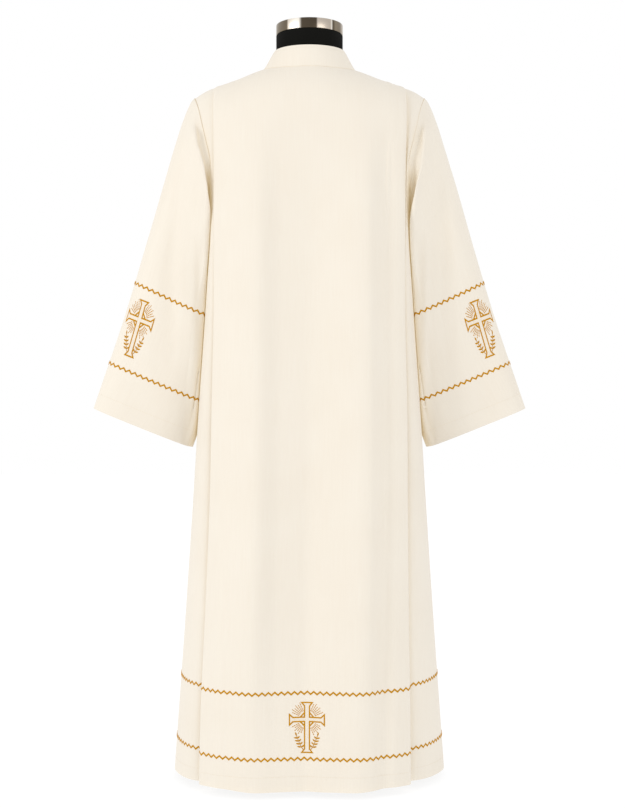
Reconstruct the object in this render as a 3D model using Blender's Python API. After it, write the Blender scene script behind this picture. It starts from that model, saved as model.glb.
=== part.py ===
"""An alb, the long wide-sleeved white garment, standing on a limbless dress form.

Frame: the back of the garment faces -Y and the wearer faces +Y, +X is right when the back is looked
at, Z is up, and the floor is z = 0 under the middle of the form.

Every number is in millimetres until a mesh is made. A cloth piece is a grid of points on the middle of
the cloth, rows running down and columns running round, and `wall` makes the cloth from it, half its
thickness to each side. The body is worked out for the half at x > 0 and mirrored.

Names: the EDGE is the folded edge of a pleat, which faces the sleeve. The panel between the two edges
lies over the side panels. `out` is how far a point lies from the plane of the side seams.
"""

import bmesh
import bpy
import numpy as np
from mathutils import Matrix

for startup in list(bpy.data.objects):
    bpy.data.objects.remove(startup)

MM = 0.001
CLOTH = 1.5  # thickness of the body and sleeve cloth
COLLAR_CLOTH = 2.4  # the collar is two layers with an interlining
PLACKET_CLOTH = 1.2
GAP = 0.3  # between two pieces at a seam
NECK_R = 66.5  # the form's neck
HEM_Z = 12.0
NOTCH_Z = 1209.0  # where the armhole lies farthest in on the back and the front
LOW_Z = 1000.0  # from here down the rows are level
HALF_SLIT = 1.2  # of the opening at the middle of the front, from the neck down
TOP_Z = 1372.0  # the highest row of the tables, where the pleats meet the shoulder

# Tables of the body, by height z
# z: half width of the middle panel (to the EDGE), half width at the side seam
WIDTHS = np.array([
    # z      edge   side
    (12.0, 201.0, 268.0),
    (146.0, 199.5, 258.5),
    (346.0, 194.0, 244.5),
    (546.0, 189.5, 231.5),
    (746.0, 187.5, 219.0),
    (906.0, 184.5, 208.0),
    (1000.0, 184.5, 202.0),
    (1090.0, 185.0, 198.0),
    (1150.0, 185.3, 199.5),
    (1209.0, 185.6, 204.5),
    (1372.0, 188.0, 229.0),
])
# z: how far out the middle panel lies, at six places from the middle (0) to the EDGE (1)
PLACES = np.array([0.0, 0.25, 0.50, 0.72, 0.88, 1.0])
DEPTHS = np.array([
    # z      0      .25    .50    .72    .88    1
    (12.0, 177.0, 184.0, 190.0, 176.0, 160.0, 144.0),
    (500.0, 153.0, 158.0, 162.0, 150.0, 137.0, 123.0),
    (900.0, 133.0, 135.0, 136.0, 128.0, 117.0, 104.0),
    (1290.0, 118.0, 117.5, 115.5, 108.0, 100.0, 90.0),
])
FRONT_MORE = 5.0  # the chest lies this much farther out than the back, and the hem no farther
FRONT_MORE_FROM, FRONT_MORE_OVER = 100.0, 900.0  # the height where it starts, and the height it grows over
# z: pleat width, radius of the fold at the EDGE, radius of the hidden fold,
#    depth of the side panel under the EDGE, depth at the hidden fold
PLEATS = np.array([
    (12.0, 42.0, 5.0, 6.0, 54.0, 69.0),
    (400.0, 42.0, 4.0, 4.5, 37.0, 48.0),
    (700.0, 42.0, 3.2, 3.5, 25.0, 32.0),
    (1000.0, 42.0, 2.4, 2.4, 13.0, 16.0),
    (1209.0, 42.0, 1.6, 1.6, 7.5, 7.8),
    (1372.0, 40.0, 1.15, 1.1, 4.5, 4.5),
])
# |x|: height of the shoulder line over the back and over the front, and how far down the cloth turns
#      from level to upright. Inside the neckline the lines run on under the collar.
SHOULDER = np.array([
    # x      back    front   turn
    (0.0, 1424.0, 1398.0, 120.0),
    (46.0, 1419.0, 1399.5, 120.0),
    (75.0, 1411.5, 1402.5, 119.0),
    (93.0, 1406.0, 1406.0, 118.0),
    (116.0, 1398.0, 1398.0, 115.0),
    (137.0, 1390.0, 1390.0, 111.0),
    (161.0, 1382.0, 1382.0, 106.0),
    (184.0, 1374.0, 1374.0, 101.0),
    (203.0, 1366.0, 1366.0, 98.0),
])
NECK_HALF = (93.0, 75.0, 78.0)  # half width of the neckline, and its depth to the back and to the front
COLLAR_LEAN = (0.87, 0.5)  # which way the collar's cloth faces at its lower edge: outwards and upwards
# upper armhole, from the shoulder point to the notch, seen from the back (x, out, z)
ARMHOLE = np.array([
    (229.0, 0.0, 1348.5),
    (225.5, 24.0, 1341.0),
    (217.5, 48.0, 1319.0),
    (209.0, 65.0, 1284.0),
    (200.5, 74.0, 1249.0),
])
# lower armhole, from the notch to the armpit: angle round the side panel, height
LOWER_ARMHOLE = ((38.0, 1164.0), (54.0, 1131.0), (67.0, 1108.0), (79.0, 1094.0), (90.0, 1090.0))
LOW_ANGLES = (0.0, 8.0, 17.0, 30.0, 45.0, 60.0, 75.0, 90.0)  # the same columns from LOW_Z down

# rows: share of the way from the top edge to the notch, then to LOW_Z, then to the hem
TOP_ROWS = (0.0, 0.012, 0.05, 0.115, 0.21, 0.36, 0.62, 1.0)
ARMHOLE_ROWS = (0.0, 0.04, 0.12, 0.23, 0.36, 0.53, 0.75, 1.0)
MID_ROWS = 3
HEM_ROWS = 12
NOTCH = len(TOP_ROWS) - 1
# columns of the middle panel: share of the width at the top edge, and from the notch down
TOP_COLUMNS = (0.0, 0.161, 0.305, 0.405, 0.471, 0.4947, 0.61, 0.73, 0.84, 0.925)
LOW_COLUMNS = (0.0, 0.10, 0.20, 0.30, 0.40, 0.50, 0.62, 0.74, 0.85, 0.935)
NECK_POINT = 5  # the column that ends at the neck point, where shoulder and neckline meet
PLEAT_COLUMNS = 11
EDGE_COLUMN = len(LOW_COLUMNS) + PLEAT_COLUMNS - 1  # where the side panel comes out from under the pleat
POINT_COLUMN = EDGE_COLUMN + 2  # the column that follows the upper armhole


def material(name, colour, roughness, metallic=0.0):
    """One plain finish. The colour is an sRGB hex, turned linear."""
    made = bpy.data.materials.new(name)
    made.use_nodes = True
    shader = made.node_tree.nodes["Principled BSDF"]
    srgb = [int(colour[i : i + 2], 16) / 255 for i in (1, 3, 5)]
    linear = [v / 12.92 if v <= 0.04045 else ((v + 0.055) / 1.055) ** 2.4 for v in srgb]
    shader.inputs["Base Color"].default_value = (*linear, 1.0)
    shader.inputs["Roughness"].default_value = roughness
    shader.inputs["Metallic"].default_value = metallic
    return made


SHARP_ANGLE = np.radians(50.0)  # an edge that bends more than this is drawn sharp
LEAST_COSINE = 0.72  # a bend steeper than this doesn't stretch the cloth's thickness further
ALB_CLOTH = material("alb_cloth", "#F6EFE3", 0.85)
FORM_JERSEY = material("form_jersey", "#141411", 0.9)
FORM_STEEL = material("form_steel", "#C4BBAE", 0.35, 1.0)


def smooth(at, places, values):
    """A curve through the values: cubic pieces, with the slope at each place taken from its neighbours."""
    order = np.argsort(places)
    places, values = np.asarray(places, float)[order], np.asarray(values, float)[order]
    slopes = np.gradient(values, places)
    at = min(max(at, places[0]), places[-1])
    i = min(int(np.searchsorted(places, at, side="right")) - 1, len(places) - 2)
    step = places[i + 1] - places[i]
    t = (at - places[i]) / step
    return (
        (2 * t**3 - 3 * t**2 + 1) * values[i]
        + (t**3 - 2 * t**2 + t) * step * slopes[i]
        + (3 * t**2 - 2 * t**3) * values[i + 1]
        + (t**3 - t**2) * step * slopes[i + 1]
    )


def column(table, z, number):
    return smooth(z, table[:, 0], table[:, number])


def ease(t):
    t = min(max(t, 0.0), 1.0)
    return t * t * (3 - 2 * t)


def half_width(z):
    return column(WIDTHS, z, 1)


def depth_at(share, z, front):
    more = FRONT_MORE * front * ease((z - FRONT_MORE_FROM) / FRONT_MORE_OVER)
    z = min(z, DEPTHS[-1, 0])
    row = [column(DEPTHS, z, i + 1) for i in range(len(PLACES))]
    return smooth(share, PLACES, row) + more


def shoulder_z(x, front):
    return smooth(x, SHOULDER[:, 0], SHOULDER[:, 2 if front else 1])


def out_at(x, z, under, front):
    """How far the middle panel, or a layer `under` mm below it, lies from the plane of the side seams."""
    turn = smooth(x, SHOULDER[:, 0], SHOULDER[:, 3])
    out = depth_at(x / half_width(z), z, front) - under
    drop = shoulder_z(x, front) - under - z
    if drop >= turn:
        return out
    return out * np.sqrt(max(0.0, 1 - (1 - max(drop, 0.0) / turn) ** 2))


def pleat_columns(z):
    """(x, depth under the middle panel) of each pleat column, from the EDGE round the hidden fold and out."""
    width, edge_r, hidden_r, side_under, fold_under = (column(PLEATS, z, i) for i in range(1, 6))
    x_edge = half_width(z)
    places = [
        (x_edge - edge_r + edge_r * np.cos(a), edge_r - edge_r * np.sin(a))
        for a in np.radians((90, 30, -30, -90))
    ]
    x_fold = x_edge - width + hidden_r
    fold = [
        (x_fold - hidden_r * np.cos(a), fold_under - hidden_r + hidden_r * np.sin(a))
        for a in np.radians((-90, -30, 30, 90))
    ]
    middle = tuple((np.array(places[-1]) + fold[0]) / 2)
    last = (x_edge, side_under)
    return [*places, middle, *fold, tuple((np.array(fold[-1]) + last) / 2), last]


def side_at(angle, z, front):
    """A point of the side panel at this height: 0 degrees at the EDGE, 90 at the side seam."""
    x_edge, side = half_width(z), column(WIDTHS, z, 2)
    out = depth_at(1.0, z, front) - column(PLEATS, z, 4)
    a = np.radians(angle)
    return np.array((x_edge + (side - x_edge) * np.sin(a), out * np.cos(a), z))


def row_heights(top_z):
    """The height of each row of a column that starts at top_z: its upper rows end at the notch."""
    heights = [top_z + (NOTCH_Z - top_z) * share for share in TOP_ROWS]
    heights += [NOTCH_Z + (LOW_Z - NOTCH_Z) * i / MID_ROWS for i in range(1, MID_ROWS + 1)]
    heights += [LOW_Z + (HEM_Z - LOW_Z) * i / HEM_ROWS for i in range(1, HEM_ROWS + 1)]
    return heights


def along(points, share):
    """The point at this share of a line's length."""
    steps = np.linalg.norm(np.diff(points, axis=0), axis=1)
    reach = np.concatenate([[0], np.cumsum(steps)]) / steps.sum()
    return np.array([smooth(share, reach, points[:, axis]) for axis in range(3)])


def neck_height(x, out, front):
    turn = smooth(x, SHOULDER[:, 0], SHOULDER[:, 3])
    deepest = depth_at(x / half_width(TOP_Z), TOP_Z, front)
    return shoulder_z(x, front) - turn * (1 - np.sqrt(1 - (out / deepest) ** 2))


def half_panel(front):
    """Points [row][column] (x, out, z) of one half of the back or the front.

    Above the notch the columns beyond the armhole have no points and stay NaN.
    """
    rows = len(TOP_ROWS) + MID_ROWS + HEM_ROWS
    columns = POINT_COLUMN + 1 + len(LOWER_ARMHOLE)
    grid = np.full((rows, columns, 3), np.nan)
    deep = NECK_HALF[2 if front else 1]
    for c, (top_share, low_share) in enumerate(zip(TOP_COLUMNS, LOW_COLUMNS)):
        x_top = top_share * half_width(TOP_Z)
        if c <= NECK_POINT:
            round_neck = np.sqrt(max(0.0, 1 - (x_top / NECK_HALF[0]) ** 2))
            out_top = deep * round_neck if c < NECK_POINT else 0.0
            top_z = neck_height(x_top, out_top, front)
        else:
            top_z = shoulder_z(x_top, front)
        for r, z in enumerate(row_heights(top_z)):
            share = top_share + (low_share - top_share) * ease((r / NOTCH))
            x = share * half_width(z)
            grid[r, c] = x, out_at(x, z, 0.0, front), z
    first = len(LOW_COLUMNS)
    for c in range(PLEAT_COLUMNS):
        x_top, under_top = pleat_columns(TOP_Z)[c]
        top_z = shoulder_z(x_top, front) - under_top
        for r, z in enumerate(row_heights(top_z)):
            x, under = pleat_columns(z)[c]
            grid[r, first + c] = x, out_at(x, z, under, front), z
    edge = EDGE_COLUMN
    # the strip between the pleat and the upper armhole, then the side panel below it
    notch_angle = LOW_ANGLES[2] + 3.0
    strip_bulge = np.array((0.5, 1.6, 1.0))
    seam = np.array([*ARMHOLE, side_at(notch_angle, NOTCH_Z, front)])
    for r in range(rows):
        if r < NOTCH:
            outer = along(seam, ARMHOLE_ROWS[r])
            inner = grid[r, edge]
            grid[r, edge + 2] = outer
            grid[r, edge + 1] = (inner + outer) / 2 + strip_bulge * min(1.0, r / 3)
            continue
        z = row_heights(NOTCH_Z)[r]
        mix = ease(min(1.0, (r - NOTCH) / MID_ROWS))
        for i, top_angle in ((1, notch_angle / 2), (2, notch_angle)):
            grid[r, edge + i] = side_at(top_angle + (LOW_ANGLES[i] - top_angle) * mix, z, front)
        for i, (top_angle, top_z) in enumerate(LOWER_ARMHOLE):
            low_angle = LOW_ANGLES[3 + i]
            share = min(1.0, (r - NOTCH) / MID_ROWS)
            height = top_z + (LOW_Z - top_z) * share if r < NOTCH + MID_ROWS else z
            angle = top_angle + (low_angle - top_angle) * share
            grid[r, edge + 3 + i] = side_at(angle, height, front)
    return grid


def placed(half, front):
    """The half in the frame, with the seams half a gap short of the plane between back and front."""
    points = half.copy()
    points[..., 1] = np.maximum(points[..., 1], GAP / 2)
    if not front:
        points[..., 1] *= -1
    return points


def mirrored(half, slit):
    """Both halves as one grid, from the wearer's side x < 0 to x > 0."""
    other = half[:, ::-1].copy()
    other[..., 0] *= -1
    if slit:
        half, other = half.copy(), other.copy()
        half[:, 0, 0], other[:, -1, 0] = slit, -slit
        return np.concatenate([other, half], axis=1)
    return np.concatenate([other[:, :-1], half], axis=1)


def kept_cells(grid):
    known = np.isfinite(grid[..., 0])
    return known[:-1, :-1] & known[1:, :-1] & known[:-1, 1:] & known[1:, 1:]


def cell_normals(grid):
    across = grid[1:, 1:] - grid[:-1, :-1]
    down = grid[1:, :-1] - grid[:-1, 1:]
    normals = np.cross(down, across)
    return normals / np.maximum(np.linalg.norm(normals, axis=2, keepdims=True), 1e-9)


def normals_of(grid, keep, closed):
    """Unit normals of the points, and how much each half thickness is stretched where the cloth bends."""
    rows, columns = grid.shape[:2]
    total = np.zeros_like(grid)
    faces = cell_normals(grid)
    near = [[[] for _ in range(columns)] for _ in range(rows)]
    for r in range(rows - 1):
        for c in range(columns - 1):
            if keep[r, c]:
                for i, j in ((0, 0), (0, 1), (1, 0), (1, 1)):
                    near[r + i][c + j].append(faces[r, c])
                    total[r + i, c + j] += faces[r, c]
    if closed:
        both = total[:, 0] + total[:, -1]
        total[:, 0] = total[:, -1] = both
        for r in range(rows):
            near[r][0] = near[r][-1] = near[r][0] + near[r][-1]
    normals = total / np.maximum(np.linalg.norm(total, axis=2, keepdims=True), 1e-9)
    stretch = np.ones((rows, columns))
    for r in range(rows):
        for c in range(columns):
            if near[r][c]:
                steepest = min(float(normals[r, c] @ n) for n in near[r][c])
                stretch[r, c] = 1 / max(LEAST_COSINE, steepest)
    return normals, stretch


def make_object(name, mesh, finish):
    mesh.materials.append(finish)
    mesh.shade_smooth()
    mesh.set_sharp_from_angle(angle=SHARP_ANGLE)
    obj = bpy.data.objects.new(name, mesh)
    bpy.context.scene.collection.objects.link(obj)
    return obj


def wall(name, grid, thickness, keep=None, closed=False, flat=None, middle=0.0):
    """Cloth on a grid: thickness/2 to each side of it, with a rim along each free edge.

    `flat` names points whose normal is given, and `middle` moves the cloth out along its normals.
    """
    keep = kept_cells(grid) if keep is None else keep
    normals, stretch = normals_of(np.nan_to_num(grid), keep, closed)
    for (r, c), normal in (flat or {}).items():
        normals[r, c] = np.asarray(normal) / np.linalg.norm(normal)
    rows, columns = grid.shape[:2]
    last = columns - 1
    half = (thickness / 2) * stretch[..., None]
    outer = grid + normals * (middle + half)
    inner = grid + normals * (middle - half)
    numbers, points = {}, []

    def number(r, c, side):
        c = 0 if closed and c == last else c
        if (r, c, side) not in numbers:
            numbers[r, c, side] = len(points)
            points.append((outer if side else inner)[r, c])
        return numbers[r, c, side]

    faces = []
    edges = {}
    for r in range(rows - 1):
        for c in range(columns - 1):
            if not keep[r, c]:
                continue
            ring = [(r, c), (r + 1, c), (r + 1, c + 1), (r, c + 1)]
            # both sides are cut along the same, shorter diagonal, so that the cloth keeps its thickness
            falling = np.linalg.norm(grid[r, c] - grid[r + 1, c + 1])
            rising = np.linalg.norm(grid[r + 1, c] - grid[r, c + 1])
            first = 0 if falling < rising else 1
            turned_ring = ring[first:] + ring[:first]
            for three in ((0, 1, 2), (0, 2, 3)):
                faces.append([number(*turned_ring[i], 1) for i in three])
                faces.append([number(*turned_ring[i], 0) for i in reversed(three)])
            for a, b in zip(ring, ring[1:] + ring[:1]):
                a, b = ((p[0], 0 if closed and p[1] == last else p[1]) for p in (a, b))
                if (b, a) in edges:
                    del edges[b, a]
                else:
                    edges[a, b] = True
    for a, b in edges:
        faces.append([number(*b, 1), number(*a, 1), number(*a, 0), number(*b, 0)])
    mesh = bpy.data.meshes.new(name)
    mesh.from_pydata([tuple(float(v) * MM for v in p) for p in points], [], faces)
    return make_object(name, mesh, ALB_CLOTH)


# Body
halves ={front: placed(half_panel(front), front) for front in (False, True)}
ROWS, COLUMNS = halves[False].shape[:2]


def seam_normals(grid, offset, columns):
    """The shoulder and side seams lie in the plane between back and front, so their normals have no Y."""
    flat = {}
    keep = kept_cells(grid)
    normals, _ = normals_of(np.nan_to_num(grid), keep, False)
    for c in range(columns):
        ends = []
        if NECK_POINT < abs(c - offset) <= POINT_COLUMN:
            ends.append(0)
        if abs(c - offset) == COLUMNS - 1:
            ends.extend(range(NOTCH, ROWS))
        for r in ends:
            flat[r, c] = normals[r, c] * (1, 0, 1)
    return flat


def neck_normals(grid):
    """Along the neckline the body's cloth and the collar share the normal half way between theirs.

    So their edges lie side by side.
    """
    normals, _ = normals_of(np.nan_to_num(grid), kept_cells(grid), False)
    top = np.arange(grid.shape[1])[np.isfinite(grid[0, :, 0])]
    found = {}
    for c in top:
        x, y, z = grid[0, c]
        if abs(x) > NECK_HALF[0] + 1:
            continue
        outward = np.array((x, y, 0.0)) / np.hypot(x, y)
        collar = outward * COLLAR_LEAN[0] + np.array((0, 0, COLLAR_LEAN[1]))
        own = normals[0, c]
        if abs(abs(x) - NECK_HALF[0]) < 1:
            own = own * (1, 0, 1)
            collar = collar * (1, 0, 1)
        own, collar = own / np.linalg.norm(own), collar / np.linalg.norm(collar)
        found[0, c] = own + collar
    return found


back = mirrored(halves[False], 0.0)
# the front's columns run the other way round, so that its normals also face out
front = mirrored(halves[True], HALF_SLIT)[:, ::-1]
back_flat = {**seam_normals(back, COLUMNS - 1, back.shape[1]), **neck_normals(back)}


def front_offset(c):
    """Columns from the slit of a column of the front grid."""
    return c - COLUMNS if c >= COLUMNS else COLUMNS - 1 - c


front_keep = kept_cells(front)
SLIT_ROWS = NOTCH + 1
front_keep[:SLIT_ROWS, COLUMNS - 1] = False
front_normals, _ = normals_of(np.nan_to_num(front), front_keep, False)
front_flat = {}
for c in range(front.shape[1]):
    ends = [0] if NECK_POINT < front_offset(c) <= POINT_COLUMN else []
    if front_offset(c) == COLUMNS - 1:
        ends.extend(range(NOTCH, ROWS))
    for r in ends:
        front_flat[r, c] = front_normals[r, c] * (1, 0, 1)
front_flat.update(neck_normals(front))

wall("back", back, CLOTH, flat=back_flat)
wall("front", front, CLOTH, keep=front_keep, flat=front_flat)

# Placket: a plain strip over the slit, on the front's own points
PLACKET_HALF = 17.0
PLACKET_PROUD = 0.35  # how far it stands off the cloth, besides the gap
PLACKET_END = 0.35  # share of the last row that it runs on for
strip = []
for r in range(0, SLIT_ROWS + 2):
    right, left = front[r, COLUMNS - 1], front[r, COLUMNS]
    if right[0] < left[0]:
        right, left = left, right
    next_columns = sorted((front[r, c] for c in (COLUMNS - 2, COLUMNS + 1)), key=lambda p: p[0])
    beside = {1: next_columns[1], -1: next_columns[0]}
    row = []
    for sign, near in ((1, right), (-1, left)):
        share = (PLACKET_HALF - HALF_SLIT) / (abs(beside[sign][0]) - HALF_SLIT)
        pair = [near + (beside[sign] - near) * share, near]
        row.extend(pair if sign > 0 else pair[::-1])
    strip.append(row)
strip = np.array(strip)
lower_end = strip[-2] + (strip[-1] - strip[-2]) * PLACKET_END
strip = np.concatenate([strip[1:-1], lower_end[None]])
if cell_normals(strip)[-1, 0][1] < 0:
    strip = strip[:, ::-1]
wall("front_placket", strip, PLACKET_CLOTH, middle=CLOTH / 2 + GAP + PLACKET_PROUD + PLACKET_CLOTH / 2)

# Collar
COLLAR_TOP_R = 70.2
COLLAR_TOP_Z = 1447.0  # at the sides of the neck
COLLAR_DROPS = (5.0, 22.0)  # how much lower its top edge runs at the back and at the front
COLLAR_ROWS = 3


def collar_grid():
    """From the centre front round the back to the centre front, with its rows running down."""
    neck = [(front[0, c], front_flat[0, c]) for c in range(COLUMNS, COLUMNS + NECK_POINT + 1)]
    side = neck[-1][0][0]
    across_back = range(COLUMNS - 1 - NECK_POINT, COLUMNS + NECK_POINT)
    rear = [(back[0, c], back_flat[0, c]) for c in across_back]
    rear = rear if np.sign(rear[0][0][0]) == np.sign(side) else rear[::-1]
    other = [(front[0, c], front_flat[0, c]) for c in range(COLUMNS - 1 - NECK_POINT, COLUMNS)]
    ring = neck[:-1] + rear + other[1:]
    rows = [[] for _ in range(COLLAR_ROWS + 1)]
    normals = []
    for point, normal in ring:
        point = point.copy()
        if abs(abs(point[0]) - NECK_HALF[0]) < 1:
            point[1] = 0.0
        normal = normal / np.linalg.norm(normal)
        normals.append(normal)
        angle = np.arctan2(point[1], point[0])
        drop = COLLAR_DROPS[0] if angle < 0 else COLLAR_DROPS[1]
        top_z = COLLAR_TOP_Z - drop * np.sin(angle) ** 2
        top = np.array((COLLAR_TOP_R * np.cos(angle), COLLAR_TOP_R * np.sin(angle), top_z))
        if abs(point[0]) < 2 and point[1] > 0:
            top[0] = point[0]
        up = top - point
        lift = up / np.linalg.norm(up)
        off_seam = np.cross(normal, np.cross(lift, normal))
        off_seam /= np.linalg.norm(off_seam)
        bottom = point + lift * (GAP / abs(float(lift @ off_seam)))
        for i in range(COLLAR_ROWS + 1):
            rows[COLLAR_ROWS - i].append(bottom + (top - bottom) * i / COLLAR_ROWS)
    return np.array(rows), normals


collar, collar_normals = collar_grid()
if float(cell_normals(collar)[0, 0] @ (collar[0, 0] * (1, 1, 0))) < 0:
    collar, collar_normals = collar[:, ::-1], collar_normals[::-1]
wall("collar", collar, COLLAR_CLOTH, flat={(COLLAR_ROWS, c): n for c, n in enumerate(collar_normals)})

# Sleeves
# share of the way down the sleeve: outer line (x, y, z), inner line (x, y, z), half depth
SLEEVE = np.array([
    # t     x      y     z       x      y     z       depth
    (0.037, 243.0, 0.0, 1326.0, 207.0, 4.0, 1084.0, 74.0),
    (0.134, 263.0, 0.0, 1266.0, 205.0, 26.0, 1040.0, 78.0),
    (0.328, 299.0, 3.0, 1146.0, 207.5, 56.0, 950.0, 72.0),
    (0.522, 335.0, 7.0, 1026.0, 212.0, 66.0, 864.0, 66.0),
    (0.716, 372.0, 10.0, 906.0, 219.5, 68.0, 778.0, 61.0),
    (0.910, 413.5, 14.0, 786.0, 230.5, 62.0, 692.0, 57.0),
    (1.000, 433.0, 16.0, 730.0, 240.0, 58.0, 652.0, 55.0),
])
SLEEVE_ROWS = (0.134, 0.19, 0.25, 0.328, 0.42, 0.522, 0.62, 0.716, 0.81, 0.91, 1.0)
SECTION_POWER = 0.86  # under 1, so that a section is a little fuller than an oval
# the fold that hangs over the side of the body below the armhole, on the back and, shallower, on the
# front: where it is round the section in degrees, its reach in radians, and how far it moves the cloth
SIDE_FOLDS = (
    (130.0, 0.62, (-16.0, -42.0, 0.0)),
    (238.0, 0.60, (-8.0, 12.0, 0.0)),
)
SIDE_FOLD_FROM, SIDE_FOLD_OVER = 0.10, 0.33  # share down the sleeve where it starts to fade, and over what
# the rows beside the armhole seam: along the body's cloth and then aside, below and over the shoulder
SEAM_ROWS = ((3.6, 3.6, 1.0), (5.2, 5.2, 4.4), (4.4, 5.6, 8.2))
ASIDE_LOW, ASIDE_HIGH = np.array((1.0, 0.0, -0.12)), np.array((0.42, 0.0, -0.90))
NOTCH_LEAN = 0.12  # at the notch the sleeve leaves mostly sideways, and this much upwards


def armhole_ring():
    """The points where the sleeve at x > 0 is sewn in, and at each the way on out of the body's cloth.

    They run from the shoulder point down the back to the armpit and up the front.
    """
    points, ways = [], []
    for is_front in (False, True):
        half = halves[is_front]
        seam = [(r, POINT_COLUMN) for r in range(NOTCH + 1)]
        seam += [(NOTCH, POINT_COLUMN + 1 + i) for i in range(len(LOWER_ARMHOLE))]
        line = np.array([half[p] for p in seam])
        tangents = np.gradient(line, axis=0)
        out = []
        for i, (r, c) in enumerate(seam):
            inward = half[r, c] - (half[r, c - 1] if i < NOTCH else half[r + 1, c])
            if i == NOTCH:
                inward = (half[r, c] - half[r, c - 1]) + (half[r, c] - half[r + 1, c]) * NOTCH_LEAN
            tangent = tangents[i] / np.linalg.norm(tangents[i])
            way = inward - tangent * (inward @ tangent)
            out.append(way / np.linalg.norm(way))
        points.append(line)
        ways.append(np.array(out))
    ring = np.concatenate([points[0], points[1][-2:0:-1]])
    way = np.concatenate([ways[0], ways[1][-2:0:-1]])
    low = len(points[0]) - 1
    for i, other in ((0, 0), (low, low)):
        ring[i, 1] = 0.0
        way[i] = way[i] * (1, 0, 1)
        way[i] /= np.linalg.norm(way[i])
    return ring, way, low


def sleeve_section(t, angles):
    outer = np.array([column(SLEEVE, t, i) for i in (1, 2, 3)])
    inner = np.array([column(SLEEVE, t, i) for i in (4, 5, 6)])
    depth = column(SLEEVE, t, 7)
    points = []
    for a in angles:
        share = (1 - np.cos(a)) / 2
        deep = depth * np.sign(np.sin(a)) * abs(np.sin(a)) ** SECTION_POWER
        point = outer + (inner - outer) * share - np.array((0, deep, 0))
        folded = 1 - ease((t - SIDE_FOLD_FROM) / SIDE_FOLD_OVER)
        for centre, reach, move in SIDE_FOLDS:
            near = ease(1 - abs(a - np.radians(centre)) / reach)
            point = point + np.array(move) * near * folded
        points.append(point)
    return np.array(points)


SLACK = 0.9  # of the curve from the armhole seam to the first section
# the fold's ridge on the back: where the sleeve's columns, counted from the shoulder point, pass over it
RIDGE = {
    5: (226.0, -72.0, 1268.0),
    6: (219.0, -83.0, 1236.0),
    7: (211.5, -90.0, 1197.0),
    8: (204.5, -95.0, 1159.0),
    9: (199.5, -94.0, 1122.0),
    10: (199.5, -72.0, 1087.0),
    11: (204.5, -32.0, 1068.0),
}


def between(a, b, leave, arrive, t):
    """A point between a and b on the cubic that leaves a and reaches b with these slopes."""
    from_a = a * (2 * t**3 - 3 * t**2 + 1) + leave * (t**3 - 2 * t**2 + t)
    return from_a + b * (3 * t**2 - 2 * t**3) + arrive * (t**3 - t**2)


def sleeve_grid():
    ring, way, low = armhole_ring()
    count = len(ring)
    up_front = np.linspace(np.pi, 2 * np.pi, count - low + 1)[1:-1]
    angles = np.concatenate([np.linspace(0, np.pi, low + 1), up_front])
    # over the shoulder the sleeve turns down at once, at the armpit it first turns out
    high = np.clip((ring[:, 2:] - ring[low, 2]) / (ring[0, 2] - ring[low, 2]), 0, 1) ** 3
    aside = (1 - high) * ASIDE_LOW + high * ASIDE_HIGH
    rows = [ring + way * GAP]
    rows += [ring + way * (on + (on_high - on) * high) + aside * off for on, on_high, off in SEAM_ROWS]
    start, target = rows[-1], sleeve_section(SLEEVE_ROWS[0], angles)
    beyond = sleeve_section(SLEEVE_ROWS[0] + 0.03, angles)
    leave = start - rows[-2]
    leave /= np.linalg.norm(leave, axis=1, keepdims=True)
    arrive = beyond - target
    arrive /= np.linalg.norm(arrive, axis=1, keepdims=True)
    length = np.linalg.norm(target - start, axis=1, keepdims=True)
    over = between(start, target, leave * length * SLACK, arrive * length * SLACK, 0.5)
    for number, point in RIDGE.items():
        over[number] = point
    first = np.linalg.norm(over - start, axis=1, keepdims=True)
    second = np.linalg.norm(target - over, axis=1, keepdims=True)
    across = (target - start) / (first + second)
    rows.append(between(start, over, leave * first, across * first, 0.5))
    rows.append(over)
    rows.extend(between(over, target, across * second, arrive * second, t) for t in (1 / 3, 2 / 3))
    rows.extend(sleeve_section(t, angles) for t in SLEEVE_ROWS)
    grid = np.array(rows)
    return np.concatenate([grid, grid[:, :1]], axis=1)


sleeve = sleeve_grid()
if float(cell_normals(sleeve)[-1, 0] @ (1, 0, 0)) < 0:
    sleeve = sleeve[:, ::-1]
wall("sleeve_right", sleeve, CLOTH, closed=True)
wall("sleeve_left", (sleeve * (-1, 1, 1))[:, ::-1], CLOTH, closed=True)

# Dress form
TORSO_FOOT = 752.0
TORSO = (
    # z, half width, half depth, middle y
    (TORSO_FOOT, 146.0, 94.0, 2.0),
    (757.0, 158.0, 104.0, 2.0),
    (775.0, 167.0, 110.0, 2.0),
    (835.0, 171.0, 111.0, 2.0),
    (930.0, 148.0, 97.0, 2.0),
    (1020.0, 131.0, 87.0, 3.0),
    (1100.0, 143.0, 93.0, 4.0),
    (1190.0, 161.0, 102.0, 4.0),
    (1250.0, 171.0, 103.0, 2.0),
    (1295.0, 184.0, 97.0, 0.0),
    (1325.0, 196.0, 86.0, -1.0),
    (1342.0, 196.0, 76.0, -2.0),
    (1354.0, 181.0, 69.0, -2.0),
    (1365.0, 154.0, 66.0, -1.5),
    (1376.0, 124.0, 65.0, -1.0),
    (1387.0, 96.0, 66.0, -0.5),
    (1398.0, 75.0, 66.5, 0.0),
    (1408.0, NECK_R, NECK_R, 0.0),
    (1473.7, NECK_R, NECK_R, 0.0),
)
AROUND = 28


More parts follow.
